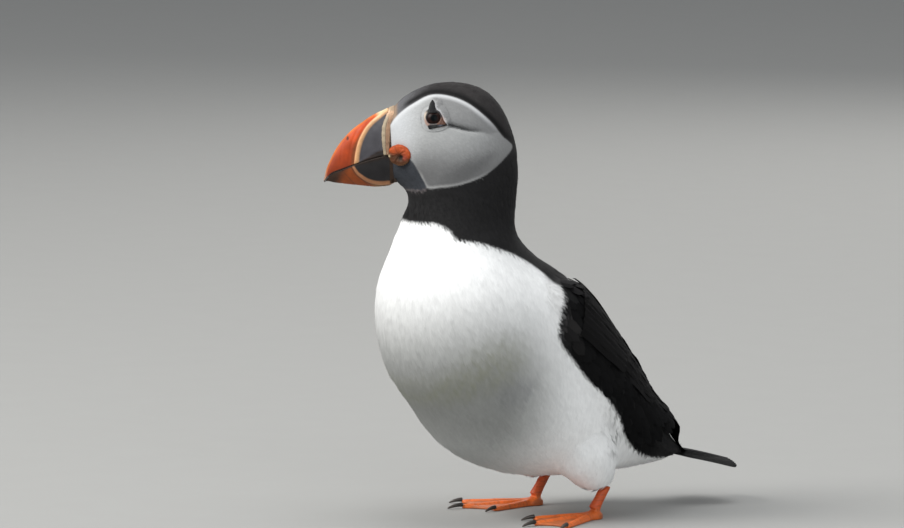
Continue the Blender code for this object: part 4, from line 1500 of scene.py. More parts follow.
# a painted highlight along the top edge of the bill
CULMEN_HIGHLIGHT = (0.66, 0.19, 0.040)
PEACH = (0.74, 0.38, 0.20)
SLATE = (0.066, 0.064, 0.072)
SLATE_LOW = (0.010, 0.009, 0.009)
CREAM = (0.68, 0.37, 0.18)
PALE_CREAM = (0.78, 0.62, 0.38)
# painted shadow in the groove in front of the cream ridge
RIDGE_SHADOW = (0.20, 0.060, 0.018)
MOUTH_BROWN = (0.030, 0.019, 0.014)
TIP_GREY = (0.34, 0.27, 0.21)

RIDGE_LINE = smooth_line(RIDGE, closed=False)
CREASE_LINE = smooth_line(CREASE, closed=False)
CULMEN_LINE = smooth_line(CULMEN, closed=False)
MOUTH_LINE = smooth_line(MOUTH, closed=False)


def ahead_of(line, side_view):
    """How far each place is ahead of a line that runs down from top to bottom."""
    return side_view[:, 0] - np.interp(side_view[:, 1], line[::-1, 1], line[::-1, 0])


def above_line(line, side_view):
    """How far each place is above a line that runs from front to rear."""
    return side_view[:, 1] - np.interp(side_view[:, 0], line[::-1, 0], line[::-1, 1])


def upper_bill_look(place):
    """Colour and push out of the surface at places on the upper bill."""
    side_view = place[:, (0, 2)]
    ahead, up = side_view.T
    gap, share = to_line(side_view, RIDGE_LINE)
    signed = np.where(ahead_of(RIDGE_LINE, side_view) > 0, gap, -gap)
    behind = signed < 0
    mouth_gap, top_gap, crease_gap = (to_line(side_view, line)[0]
                                      for line in (MOUTH_LINE, CULMEN_LINE, CREASE_LINE))
    root = -ahead
    width = 0.62 + 0.28 * share
    brown = 0.25 + 0.65 * ease(share, 0.40, 0.8)
    # where the painted shadow lies, in the groove just ahead of the ridge
    ridge_shadow_mask = groove(signed - width - brown * 0.7, brown) * ease(share, 0.30, 0.60)
    ridge = (fade(signed, width - 0.2, width + 0.2)
             - ease(-signed, width - 0.2, width + 0.75))
    pale_crest = fade(np.abs(signed), 0.2, 0.7) * fade(share, 0.2, 0.5)
    mouth_edge = fade(mouth_gap, 0.2, 0.5 + 0.7 * ease(root, -50.0, -40.0))
    nick_gap = np.linalg.norm((side_view - NICK) / (0.6, 1.0), axis=1)
    colour = layered(
        plain(ORANGE, len(place)),
        (RED, ease(-up, -180.0, -163.0) * 0.85),
        (RED, spot(side_view, (50.5, 172.0), (3.0, 8.0), -10.0) * 0.5),
        # painted highlight along the culmen
        (CULMEN_HIGHLIGHT, fade(top_gap, 0.1, 1.1) * 0.7),
        (PEACH, ease(root, -40.5, -36.8) * 0.85),
        (PALE_CREAM, ease(root, -41.0, -37.0) * fade(top_gap, 0.3, 1.4)),
        (TIP_GREY, ease(ahead, 62.2, 64.0) * 0.8),
        (RIDGE_SHADOW, ridge_shadow_mask * 0.9),
        (SLATE, fade(signed, -0.6, -0.1)),
        (SLATE_LOW, fade(above_line(CREASE_LINE, side_view), -0.5, 0.3) * behind * 0.95),
        (MOUTH_BROWN, groove(crease_gap, 0.4) * behind),
        (CREAM, ridge),
        (PALE_CREAM, pale_crest * 0.5),
        (MOUTH_BROWN, mouth_edge),
        (MOUTH_BROWN, fade(nick_gap, 0.5, 1.25) * 0.85))
    push = 0.34 * np.exp(-(signed / (width * 0.9)) ** 4)
    for distance, half_width, depth in GROOVES:
        push -= depth * groove(signed - distance, half_width) * ease(mouth_gap, 0.5, 3.0)
    push -= 0.16 * groove(signed - width - 0.4, 0.5)
    push -= 0.14 * ease(-signed, 0.8, 1.6) + 0.22 * groove(crease_gap, 0.45) * behind
    push -= 0.25 * fade(nick_gap, 0.4, 1.2)
    return colour, push


print("ridge from", RIDGE[0], "to", RIDGE[-1])

# %% [markdown]
# Horn, claws, leather and bare skin share one finish: the painted colour, broken up by a
# broad and a fine noise, a little relief, and a thin gloss that each of them sets for itself.
# The upper bill is the first piece to wear it.

# %% Horn, and the upper bill
def horn_finish(name, roughness, coat, grain, grain_depth, specular=0.4):
    """Horn: painted colour, fine growth lines across it and a thin gloss."""
    made, tree, inputs = material_with(name, roughness, specular, coat, 0.28)
    place = object_place(tree)
    fine = noise(tree, place, grain, 4.0, 0.65)
    broad = noise(tree, place, grain / 6, 3.0)
    both = sums(tree, "MULTIPLY", scaled(tree, broad, 0.3, 0.7, 0.80, 1.12),
                scaled(tree, fine, 0.25, 0.75, 0.90, 1.06))
    bump = put(tree, "ShaderNodeBump", {"Height": fine, "Distance": grain_depth * MM,
                                        "Strength": 0.6})
    feed(tree, (inputs["Base Color"], inputs["Roughness"], inputs["Normal"]),
         (times_number(tree, attribute(tree, "finish", "Color"), both),
          scaled(tree, fine, 0.3, 0.7, roughness - 0.08, roughness + 0.14), bump.outputs[0]))
    return made


BILL_HORN = horn_finish("bill horn", 0.52, 0.03, 1400.0, 0.08, 0.22)


def no_swell(_time):
    return 0.0


def build_bill_half(name, node_name, grid, look):
    """Paints one half of the bill, presses its ridges and grooves in, and closes it."""
    colour, push = look(grid.reshape(-1, 3))
    edge = np.abs(np.linspace(-1, 1, BILL_COLUMNS)) > BILL_RIM
    grid += grid_outward(grid) * (push.reshape(grid.shape[:2]) * ~edge)[..., None]
    piece = closed_piece(name, grid, colour.reshape(grid.shape), BILL_HORN)
    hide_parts(node_name)


def upper_bulge(time):
    """How far the upper bill's rows bow forward, as the cere behind them does."""
    return CERE_BULGE * max(0.0, 1.5 - 0.5 * time)


upper_times = np.linspace(0.45, BILL_TIP, 150)
upper_grid = bill_half(CULMEN, upper_times, no_swell, upper_bulge, 0.0)
build_bill_half("upper_bill_horn", "bill_upper", upper_grid, upper_bill_look)
print("rows along the upper bill:", len(upper_times))

# %% [markdown]
# The lower bill repeats the pattern in the other direction: a dark worn tip, orange, a cream
# ridge that curves back along the keel, and slate at the root under the mouth.

# %% Lower bill
LOWER_RIDGE = ((50.4, 165.4), (49.6, 164.0), (48.5, 162.4), (47.0, 161.0), (43.9, 158.9),
               (40.0, 157.6), (36.0, 157.4), (31.0, 158.0))
LOWER_TIP = 57.0  # ahead, mm: where the worn tip begins
BROWN_TIP = (0.040, 0.024, 0.016)
LOWER_ORANGE = (0.2652, 0.0585, 0.0125)
LOWER_CREAM = (0.44, 0.20, 0.095)
OCHRE = (0.27, 0.155, 0.060)
LOWER_SLATE = (0.021, 0.019, 0.020)
ROOT_BROWN = (0.055, 0.033, 0.022)
LOWER_LINE = smooth_line(LOWER_RIDGE, closed=False)


def lower_bill_look(place):
    side_view = place[:, (0, 2)]
    ahead, up = side_view.T
    gap, share = to_line(side_view, LOWER_LINE)
    behind = (above_line(LOWER_LINE, side_view) > 0) & (ahead < 50.6)
    mouth_gap, _share = to_line(side_view, MOUTH_LINE)
    tip = ease(ahead + 0.5 * (up - 160.0), LOWER_TIP - 3.5, LOWER_TIP + 2.0)
    stripe = np.abs(np.sin((ahead - 0.9 * up) * 0.55))
    ridge = fade(gap, 0.28 + 0.5 * share, 0.65 + 0.9 * share) * (1 - 0.2 * share)
    mouth_edge = fade(mouth_gap, 0.3, 1.1 + 1.3 * ease(-ahead, -52.0, -42.0))
    colour = layered(
        plain(LOWER_ORANGE, len(place)),
        (BROWN_TIP, tip * 0.95),
        (OCHRE, ease(-ahead, -43.5, -39.0) * 0.9),
        (ROOT_BROWN, fade(stripe, 0.0, 0.35) * ~behind * 0.30),
        (LOWER_SLATE, behind * ease(gap, 0.15, 0.7)),
        (LOWER_CREAM, ridge),
        (ROOT_BROWN, groove(gap - 1.05, 0.3) * ~behind * 0.6),
        (ROOT_BROWN, ease(-ahead, -33.9, -33.2) * behind),
        (MOUTH_BROWN, mouth_edge))
    push = 0.30 * groove(gap, 0.7) - 0.12 * behind * ease(gap, 0.7, 1.4)
    push -= 0.10 * fade(stripe, 0.0, 0.4) * ~behind
    push += 0.15 * ease(-ahead, -34.6, -33.8)
    return colour, push


lower_times = np.concatenate((np.linspace(-1.0, 0.0, 9)[:-1], np.linspace(0.0, BILL_TIP, 150)))
lower_grid = bill_half(GONYS, lower_times, no_swell, no_swell, 0.3)
build_bill_half("lower_bill_horn", "bill_lower", lower_grid, lower_bill_look)
print("lower ridge points:", len(LOWER_LINE))

# %% [markdown]
# Where bill meets face there is a raised welt of leathery skin, the cere. Its front half is
# cream and its rear half tan, its top fades to peach, and it has a few dark pores and is
# soft enough to look wrinkled.

# %% Cere
CERE_CREAM = (0.36, 0.285, 0.19)
CERE_TAN = (0.34, 0.20, 0.115)
CERE_PEACH = (0.66, 0.42, 0.26)
CERE_PORE = (0.10, 0.05, 0.03)
CERE_LEAN = 1.3  # mm that its top stands further back
CERE_PORES = 26
CERE_ROWS = 60
CERE_TIMES = (-1.0, -0.4, -0.14, -0.05, 0.05, 0.2, 0.32, 0.44, 0.56, 0.68, 0.8, 0.9, 0.97, 1.02)


def cere_swell(time):
    """Full in its middle and rounded down at its front edge, to meet the horn."""
    rise = float(ease(np.array(time), -0.14, 0.14))
    front = math.sqrt(max(0.0, 1 - max(0.0, (time - 0.35) / 0.68) ** 4))
    return CERE_SWELL * front * rise - 1.5 * (1 - rise)


def build_cere():
    stations = np.arange(len(CERE_TIMES))
    times = np.interp(np.linspace(0, stations[-1], CERE_ROWS), stations, CERE_TIMES)
    grid = bill_half(CULMEN, times, cere_swell, lambda t: CERE_BULGE * max(t, 0.0), -0.2)
    rng = np.random.default_rng(5)
    share = np.repeat(times, BILL_COLUMNS)
    place = grid.reshape(-1, 3)
    ahead, _aside, up = place.T
    tone = 0.5 + 0.5 * np.sin(up * 1.7 + 2.0 * np.sin(up * 0.6))
    colour = layered(
        plain(CERE_TAN, share.size),
        (CERE_CREAM, ease(share, 0.64, 0.74)),
        (CERE_PORE, groove(share - 0.66, 0.05) * 0.35),
        (CERE_PEACH, ease(up, 187.0, 190.5) * 0.85),
        (CERE_CREAM, ease(up, 190.6, 191.8) * 0.8),
        (CERE_PORE, tone * (share < 0.66) * 0.22))
    wrinkle = np.sin(up * 2.1 + 0.8 * np.sin(ahead * 1.3)) * 0.07
    wrinkle += np.sin(up * 5.3 + ahead * 2.0) * 0.035
    wrinkle -= 0.22 * groove(share - 0.67, 0.05)
    for _pore in range(CERE_PORES):
        centre = place[rng.integers(len(place))]
        gap = np.linalg.norm(place - centre, axis=1)
        size = rng.uniform(0.16, 0.34)
        colour = over(colour, CERE_PORE, groove(gap, size) * rng.uniform(0.4, 0.9))
        wrinkle -= 0.10 * groove(gap, size * 1.3)
    grid += grid_outward(grid) * wrinkle.reshape(grid.shape[:2])[..., None]
    grid[..., 0] -= CERE_LEAN * ease(grid[..., 2], 183.0, 191.5)
    finish = horn_finish("cere leather", 0.55, 0.05, 2200.0, 0.12)
    piece = closed_piece("cere_leather", grid, colour.reshape(grid.shape), finish)
    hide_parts("cere")


build_cere()
print("cere rows:", len(CERE_TIMES))

# %% [markdown]
# At each corner of the mouth sits a rosette of bare, wrinkled, orange skin that lets the
# gape stretch. It is a round cushion that faces more sideways than the cheek does, with folds
# that run out from a small hollow, and its underside closes in toward the mouth. Painted
# shade darkens its lower half, its dish, the valleys of its folds and the hollow.

# %% Rosettes
ROSETTE_MIDDLE = (29.2, 13.7, 171.4)  # ahead, aside and up, mm
ROSETTE_RADII = (5.9, 5.0)
ROSETTE_TILT = math.radians(32)
ROSETTE_UNDER = ((0.99, -0.5), (0.93, -1.3), (0.78, -2.4), (0.5, -3.6), (0.0, -3.8))
ROSETTE_RINGS = 40
ROSETTE_SPOKES = 120
ROSETTE_RED = (0.42, 0.068, 0.012)
# painted shade on the rosette's lower half, in its dish and in the valleys of its folds
ROSETTE_SHADE = (0.066, 0.0252, 0.0084)
ROSETTE_TAN = (0.135, 0.058, 0.022)
# painted shade in the small pit
ROSETTE_PIT_SHADE = (0.018, 0.014, 0.009)
ROSETTE_PINK = (0.42, 0.075, 0.045)
SKIN_TREE = BVHTree.FromPolygons([Vector(p) for p in skin_points], triangles.tolist())


def hollow(x, y, middle_x, middle_y, half_x, half_y):
    """A soft oval hollow in a rosette's own measures."""
    return np.exp(-((x - middle_x) / half_x) ** 2 - ((y - middle_y) / half_y) ** 2)


def build_rosette(name, sign):
    out = np.array((math.sin(ROSETTE_TILT), math.cos(ROSETTE_TILT), 0.0))
    forth = np.array((math.cos(ROSETTE_TILT), -math.sin(ROSETTE_TILT), 0.0))
    rng = np.random.default_rng(8)
    radii = np.linspace(0.0, 1.0, ROSETTE_RINGS)
    turns = np.linspace(0, math.tau, ROSETTE_SPOKES, endpoint=False)
    fold = sum(rng.uniform(0.5, 1.0) * np.sin(turns * n + rng.uniform(0, math.tau))
               for n in (3, 5, 8, 13)) / 2.6
    outline = 1 + 0.05 * np.sin(turns * 2 + 0.7) * 0.5 + 0.03 * fold
    rings = [(r, 1.5 * math.sqrt(max(0.0, 1 - r ** 2.6)) - 0.3, True) for r in radii]
    rings += [(r, depth, False) for r, depth in ROSETTE_UNDER]
    grid = np.empty((len(rings), ROSETTE_SPOKES, 3))
    colour = np.empty((len(rings), ROSETTE_SPOKES, 3))
    for ring, (r, height, on_top) in enumerate(rings):
        x = r * np.cos(turns) * outline
        y = r * np.sin(turns) * outline
        pit = hollow(x, y, -0.17, -0.22, 0.20, 0.26) * on_top
        dish = hollow(x, y, -0.08, -0.12, 0.5, 0.45) * on_top
        wrinkle = 0.22 * fold * math.sin(math.pi * min(r * 1.05, 1.0)) ** 0.8 * on_top - 0.6 * dish
        second = 0.13 * np.sin(9 * x + 4 * y + 2.0 * np.sin(7 * y - 5 * x)) * r * on_top
        out_by = height + wrinkle + second - 1.0 * pit
        grid[ring] = (np.array(ROSETTE_MIDDLE) + np.outer(x * ROSETTE_RADII[0], forth)
                      + np.outer(out_by, out))
        grid[ring, :, 2] += y * ROSETTE_RADII[1]
        rim = ease(np.full(len(turns), r), 0.78, 0.95)
        colour[ring] = layered(
            plain(ROSETTE_RED, len(turns)),
            # painted shade: the lower half, the dish, the valleys of the folds and the pit
            (ROSETTE_SHADE, ease(-y + 0.35 * x, -0.2, 0.3) * 0.95),
            (ROSETTE_TAN, rim * ease(-y, 0.1, 0.7) * 0.8),
            (ROSETTE_SHADE, np.clip(dish * 1.2, 0, 1) * 0.75),
            (ROSETTE_PINK, hollow(x, y, -0.58, -0.18, 0.22, 0.25) * 0.8),
            (PALE_CREAM, hollow(x, y, 0.86, -0.12, 0.12, 0.12) * 0.8),
            (ROSETTE_SHADE, ease(-fold, 0.3, 1.2) * 0.5),
            (ROSETTE_PIT_SHADE, np.clip(pit * 1.15, 0, 1)))
    grid[..., 1] *= sign
    piece = head_piece(f"rosette_{name}", grid, colour, ROSETTE_SKIN, wrap=True)
    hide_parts(f"gape_{name}")


ROSETTE_SKIN = horn_finish("rosette skin", 0.6, 0.0, 2200.0, 0.25, 0.25)
for side_name, side_sign in SIDES:
    build_rosette(side_name, side_sign)
print("rosette radii mm:", ROSETTE_RADII)

# %% [markdown]
# A puffin's eye is dark: a deep brown iris round a black pupil. It looks out of a kite of bare
# skin and horn. Everything round the ball is drawn as seen from the bird's side and laid on a
# mound, which is the ball where the ball stands out and the face elsewhere.

# %% Eyeballs
BALL_RADIUS = 5.2
BALL_SUNK = 0.8
GAZE_AT = (13.2, 189.05)
EYE_RINGS = 64
EYE_SPOKES = 96
IRIS_ANGLE = 46.0
PUPIL_ANGLE = 16.5
SOFTNESS = 0.3  # mm: how softly the mound's two surfaces run together
FACE_RING = (6.8, 10.5)  # mm from the eye's middle: the ring of face that the mound is fitted to
IRIS = (0.008, 0.005, 0.005)
IRIS_RED = (0.042, 0.012, 0.006)
# near black, with a faint blue-green tint that is a painted reflection
PUPIL_AND_REFLECTION = (0.0010, 0.0022, 0.0028)
LID_DARK = (0.035, 0.032, 0.032)


def eye_mound(name, sign):
    """The ball's middle in head mm, and a function for how far out the mound lies at a place."""
    eye = in_head(np.array([EYES[name]]))[0] * (1, sign, 1)
    across = head_mm[:, 0] - eye[0]
    rise = head_mm[:, 2] - eye[2]
    away = np.hypot(across, rise)
    near = (head_mm[:, 1] * sign > CHEEK_ASIDE) & (away > FACE_RING[0]) & (away < FACE_RING[1])

    def terms(x, y):
        return np.stack((np.ones_like(x), x, y, x * x, x * y, y * y), -1)

    fit = np.linalg.lstsq(terms(across[near], rise[near]), head_mm[near, 1] * sign, rcond=None)[0]
    facing = np.array((-fit[1], 1.0, -fit[2]))
    ball = eye - facing / np.linalg.norm(facing) * BALL_SUNK

    def out_at(place, over_ball=0.3):
        face = terms(place[..., 0] - eye[0], place[..., 1] - eye[2]) @ fit
        room = BALL_RADIUS ** 2 - (place[..., 0] - ball[0]) ** 2 - (place[..., 1] - ball[2]) ** 2
        swell = ball[1] + np.sqrt(np.maximum(room, 0)) - np.maximum(-room, 0) * 2 + over_ball
        return SOFTNESS * np.logaddexp(face / SOFTNESS, swell / SOFTNESS)

    return ball, out_at


def eyeball_finish():
    made, tree, inputs = material_with("wet eye", 0.35, 0.05, 0.045, 0.14)
    tone = scaled(tree, noise(tree, object_place(tree), 1800.0, 3.0), 0.3, 0.7, 0.6, 1.4)
    toned = times_number(tree, attribute(tree, "finish", "Color"), tone)
    tree.links.new(toned, inputs["Base Color"])
    return made


def build_eyeball(name, sign, ball, out_at):
    target = np.array((GAZE_AT[0], float(out_at(np.array(GAZE_AT), 0.0)), GAZE_AT[1]))
    gaze = (target - ball) / np.linalg.norm(target - ball)
    up = np.array((0.0, 0.0, 1.0)) - gaze * gaze[2]
    up /= np.linalg.norm(up)
    ahead = np.cross(gaze, up)
    angle = np.linspace(0.0, math.pi, EYE_RINGS)
    turns = np.linspace(0, math.tau, EYE_SPOKES, endpoint=False)
    across = np.cos(turns)[:, None] * ahead + np.sin(turns)[:, None] * up
    grid = ball + BALL_RADIUS * (np.sin(angle)[:, None, None] * across[None]
                                 + np.cos(angle)[:, None, None] * gaze)
    grid[..., 1] *= sign
    degrees = np.degrees(np.repeat(angle, len(turns)))
    radial = np.tile(0.5 + 0.5 * np.sin(turns * 31 + 2 * np.sin(turns * 7)), len(angle))
    ring = ease(degrees, PUPIL_ANGLE, 24.0) * fade(degrees, 32.0, 40.0)
    colour = layered(
        plain(IRIS, degrees.size),
        (LID_DARK, ease(degrees, 38.0, IRIS_ANGLE)),
        (IRIS_RED, radial * ring * 0.42),
        (PUPIL_AND_REFLECTION, fade(degrees, PUPIL_ANGLE - 1.5, PUPIL_ANGLE + 2.0)))
    piece = head_piece(f"eyeball_{name}", grid, colour, WET_EYE, wrap=True)
    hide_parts(f"eye_{name}")


WET_EYE = eyeball_finish()
MOUNDS = {}
for side_name, side_sign in SIDES:
    ball_middle, MOUNDS[side_name] = eye_mound(side_name, side_sign)
    build_eyeball(side_name, side_sign, ball_middle, MOUNDS[side_name])
print("ball middle, head mm:", ball_middle.round(2))

# %% [markdown]
# The lids are one ring of bare skin, drawn from the eye's opening outward: a raised welt at
# the opening, fine wrinkles round it, and an outer edge that dips into the face. They are
# cream and pink in front and orange-brown behind, and below the bar they are plain face.

# %% Lids
OPENING = ((16.8, 188.9), (15.8, 191.1), (13.4, 191.8), (11.2, 191.2), (10.1, 189.2),
           (11.1, 187.0), (13.1, 186.3), (15.6, 186.6))
LID_OUTER = ((19.0, 189.2), (17.8, 193.0), (13.4, 194.4), (9.4, 193.0), (7.0, 189.2), (7.0, 184.6),
             (13.0, 182.7), (17.9, 184.0))
LID_RISES = ((0.58, 0.0, 0.16), (-0.26, 0.22, 0.5), (-0.5, 0.5, 1.0))  # mm, from and to
LID_SUNK = 0.3
LID_RINGS = 22
BAR_REAR = (7.2, 185.6)  # a straight line just under the bar, below which the lids are face
BAR_SLOPE = 0.22
LID_CREAM = (0.50, 0.42, 0.34)
LID_PINK = (0.30, 0.175, 0.145)
LID_GREY = (0.075, 0.068, 0.065)
LID_ORANGE = (0.095, 0.040, 0.022)


def part_of_turn(turn, middle_degrees, half_degrees):
    """1 in the middle of a part of a turn, 0 outside it."""
    off = (np.degrees(turn) - middle_degrees + 180.0) % 360.0 - 180.0
    return fade(np.abs(off), half_degrees * 0.55, half_degrees)


def on_mound(place, out_at, lift, sign):
    """A grid in head millimetres from places seen from the side, lifted off the mound."""
    grid = np.stack((place[..., 0], out_at(place) + lift, place[..., 1]), -1)
    grid[..., 1] *= sign
    return grid


def as_face(grid, sign):
    """The colours that the face's own pattern gives to a grid in head millimetres."""
    return paint_face(np.zeros((grid[..., 0].size, 3)), grid.reshape(-1, 3) * (1, sign, 1))[0]


def build_lids(name, sign, out_at):
    """A ring of bare skin from the opening outward, rounded at its edge and finely wrinkled."""
    inner = smooth_line(OPENING)[:, None]
    outer = smooth_line(LID_OUTER)[:, None]
    share = np.linspace(0, 1, LID_RINGS)[None, :, None] ** 1.15
    place = inner + (outer - inner) * share
    place = np.concatenate((place, place[:1]))
    t = np.repeat(share[..., 0], len(place), axis=0)
    turn = np.arctan2(place[..., 1] - GAZE_AT[1], place[..., 0] - GAZE_AT[0])
    lift = sum(rise * ease(t, start, end) for rise, start, end in LID_RISES) - LID_SUNK
    lift += 0.05 * np.sin(t * 38 + 1.5 * np.sin(turn * 3)) * ease(t, 0.1, 0.3)
    grid = on_mound(place, out_at, lift, sign)
    painted = as_face(grid, sign)
    turn = turn.ravel()
    t = t.ravel()
    below_bar = BAR_REAR[1] - BAR_SLOPE * (place[..., 0] - BAR_REAR[0]) - place[..., 1]
    colour = layered(
        plain(LID_DARK, len(t)),
        (LID_CREAM, part_of_turn(turn, -16.0, 62.0) * ease(t, 0.06, 0.2)),
        (LID_PINK, part_of_turn(turn, -42.0, 38.0) * ease(t, 0.0, 0.12) * 0.8),
        (painted, part_of_turn(turn, 0.0, 100.0) * ease(t, 0.32, 0.55)),
        (LID_GREY, part_of_turn(turn, -88.0, 40.0) * fade(t, 0.35, 0.6)),
        (LID_ORANGE, part_of_turn(turn, -150.0, 42.0) * fade(t, 0.7, 0.95)),
        (LID_PINK, part_of_turn(turn, -152.0, 14.0) * groove(t - 0.3, 0.10) * 0.25),
        (painted, ease(below_bar, 0.0, 0.5).ravel()))
    head_piece(f"lids_{name}", grid, colour, LID_SKIN)


LID_SKIN = horn_finish("lid skin", 0.55, 0.05, 3000.0, 0.08, 0.3)
for side_name, side_sign in SIDES:
    build_lids(side_name, side_sign, MOUNDS[side_name])
print("lid rises, mm:", [row[0] for row in LID_RISES])

# %% [markdown]
# A striped horny plate stands over the eye and a dark bar lies under it. Both are grown only
# for the breeding season. Each is a small grid between two smooth lines, rounded off at its
# edges and laid on the mound.

# %% Plate and bar
PLATE_FRONT = ((14.0, 196.8), (15.0, 195.3), (15.7, 192.9), (16.6, 191.2))
PLATE_REAR = ((13.7, 196.8), (12.9, 195.3), (12.7, 193.2), (11.5, 191.2))
BAR_BELOW = ((15.9, 185.0), (15.1, 184.7), (13.2, 185.1), (11.0, 185.4), (8.8, 185.6), (7.2, 186.0))
BAR_HALF = (0.4, 1.0, 0.8, 0.6, 0.4, 0.2)
PLATE_DARK = (0.010, 0.010, 0.011)
PLATE_GREY = (0.045, 0.047, 0.045)
BAR_BLUE = (0.12, 0.13, 0.155)


def build_plate(name, sign, out_at):
    """The horny plate over the eye: a tall striped triangle."""
    front = smooth_line(PLATE_FRONT, closed=False)[:, None]
    rear = smooth_line(PLATE_REAR, closed=False)[:, None]
    across = np.linspace(-1, 1, 25)[None, :, None]
    place = (front + rear) / 2 + (front - rear) / 2 * across
    down = np.linspace(0, 1, len(front))[:, None]
    side = np.abs(across[..., 0])
    stripe = (0.5 + 0.5 * np.cos(across[..., 0] * 9.5 + 0.6)) * np.ones_like(down)
    pale_side = (ease(across[..., 0], 0.1, 0.7) * 0.7 + 0.3 * stripe) * (1 - 0.5 * down)
    lift = (0.85 * np.sqrt(np.clip(1 - side ** 4, 0, 1)) * ease(down, -0.05, 0.3) + 0.10 * stripe
            - 0.5 * ease(down, 0.86, 1.0) - 0.15)
    tint = over(plain(PLATE_DARK, stripe.size), PLATE_GREY, pale_side.ravel())
    head_piece(f"eye_plate_{name}", on_mound(place, out_at, lift, sign), tint, PLATE_HORN)


def build_bar(name, sign, out_at):
    """The bar under the eye: thick and dark in front, thin behind."""
    line = smooth_line(BAR_BELOW, closed=False)
    half = smooth_line([(h, 0.0) for h in BAR_HALF], closed=False)[:, 0]
    across = np.linspace(-1, 1, 13)
    place = np.repeat(line[:, None], len(across), axis=1)
    place[..., 1] += across[None] * half[:, None]
    roundness = np.sqrt(np.clip(1 - across[None] ** 4, 0, 1))
    lift = 0.75 * roundness * np.minimum(half[:, None] / 0.5, 1.0) - 0.2
    along = np.repeat(np.linspace(0, 1, len(line)), len(across))
    tint = layered(plain(PLATE_DARK, along.size),
                   (PLATE_GREY, spot_on(along, 0.42, 0.22) * 0.5),
                   (BAR_BLUE, spot_on(along, 0.66, 0.16) * 0.5))
    head_piece(f"eye_bar_{name}", on_mound(place, out_at, lift, sign), tint, PLATE_HORN)


def spot_on(values, middle_value, half):
    """1 at a value, 0 from a little way off it."""
    return fade(np.abs(values - middle_value), 0.0, half)


PLATE_HORN = horn_finish("plate horn", 0.6, 0.0, 2600.0, 0.08, 0.1)
for side_name, side_sign in SIDES:
    build_plate(side_name, side_sign, MOUNDS[side_name])
    build_bar(side_name, side_sign, MOUNDS[side_name])
print("bar's half widths, mm:", BAR_HALF)

# %% [markdown]
# A fold of the cheek leans over the eye's rear corner. Its lip carries a painted highlight
# along the edge, pink in its lower part, and behind that it wears the same small plumes as the
# face, laid by the same tree.

# %% Fold of the cheek
# a painted highlight along the lip's edge, pink in its lower part
FOLD_EDGE_HIGHLIGHT = (0.35, 0.35, 0.36)
FOLD_PINK_HIGHLIGHT = (0.50, 0.38, 0.35)
LIP_WIDTH = 3.3
LIP_LIE = np.array((-1.0, 0.0, -0.25))


def build_fold(name, sign, out_at):
    """The lip of the cheek's fold, with a painted highlight along its edge, that leans over the eye's
    rear corner.
    """
    line = smooth_line(FOLD_EDGE, closed=False)
    run = np.gradient(line, axis=0)
    run /= np.linalg.norm(run, axis=1)[:, None]
    rearward = np.stack((run[:, 1], -run[:, 0]), 1)
    q = np.linspace(0, 1, 18)
    place = line[:, None] + rearward[:, None] * (LIP_WIDTH * q - 0.15)[None, :, None]
    down = np.linspace(0, 1, len(line))
    ends = ease(down, 0.0, 0.2) * fade(down, 0.85, 1.0)
    lift = (1.25 * ease(q, 0.0, 0.11) - 1.05 * ease(q, 0.3, 1.0))[None]
    lift = lift * (0.35 + 0.65 * ends[:, None]) - 0.45
    grid = on_mound(place, out_at, lift, sign)
    share = np.repeat(down, len(q))
    # edge: where the painted highlight lies along the lip
    edge = fade(np.tile(q, len(line)), 0.10, 0.30)
    colour = layered(as_face(grid, sign),
                     (FOLD_EDGE_HIGHLIGHT, edge * ease(share, 0.05, 0.3) * 0.9),
                     (FOLD_PINK_HIGHLIGHT, edge * spot_on(share, 0.72, 0.22) * 0.8))
    fold = head_piece(f"eye_fold_{name}", grid, colour, FOLD_SKIN)
    dress_fold(name, fold.data)


def dress_fold(name, base):
    """Lays the face's own small plumes on the lip, behind its bare edge."""
    spots = mesh_points(base)
    nearest = triangles[[SKIN_TREE.find_nearest(spot)[2] for spot in spots], 0]
    u, v = map_place(around[nearest], along[nearest])
    lip = base.copy()
    tint = np.empty(len(spots) * 4, np.float32)
    lip.attributes["finish"].data.foreach_get("color", tint)
    store(lip, "plumage", tint, "FLOAT_COLOR")
    store(lip, "lie", np.tile(LIP_LIE @ HEAD_AXES, (len(spots), 1)), "FLOAT_VECTOR")
    store(lip, "cover", ease(to_line(in_head(spots)[:, (0, 2)], FOLD_LINE)[0], 0.35, 0.7))
    store(lip, "coat_size", np.full(len(spots), 0.55))
    store(lip, "place_on_skin", np.stack((u, v, v * 0), axis=1), "FLOAT_VECTOR")
    store(lip, "tract", np.full(len(lip.polygons), TRACT_NUMBER["face"]), "INT", "FACE")
    lay_coat(f"eye_fold_plumage_{name}", "face", "down", 0.5, 2.2, 1.1, 2.0, 6, 0.2, FACE_PLUMAGE,
             "face_feathers", 40, lip)


FOLD_SKIN = horn_finish("fold skin", 0.85, 0.0, 2600.0, 0.05, 0.1)
for side_name, side_sign in SIDES:
    build_fold(side_name, side_sign, MOUNDS[side_name])
print("lip's width, mm:", LIP_WIDTH)

# %% [markdown]
# The legs and feet are bare: short scaly shanks, three long toes joined by webs, and a claw
# on each. The solids have their true shape, so each leg and its foot are poured together at
# a fine grain, relaxed, and given the rows of scales that cross the toes and climb the shank.

# %% Legs and feet
FOOT_VOXEL = 0.5 * MM
FOOT_BRIDGE = 0.2 * MM
SCALE_PITCH = 1.25  # mm from one scale to the next along a toe
SCALE_RELIEF = 0.13
FOOT_SUNK = 0.15
KNUCKLE_PITCH = 11.5
FOOT_ORANGE = (0.78, 0.16, 0.025)
FOOT_RED = (0.62, 0.075, 0.02)
WEB_DULL = (0.48, 0.12, 0.03)
JOINT_DARK = (0.20, 0.05, 0.02)
TOES = (1, 2, 3)


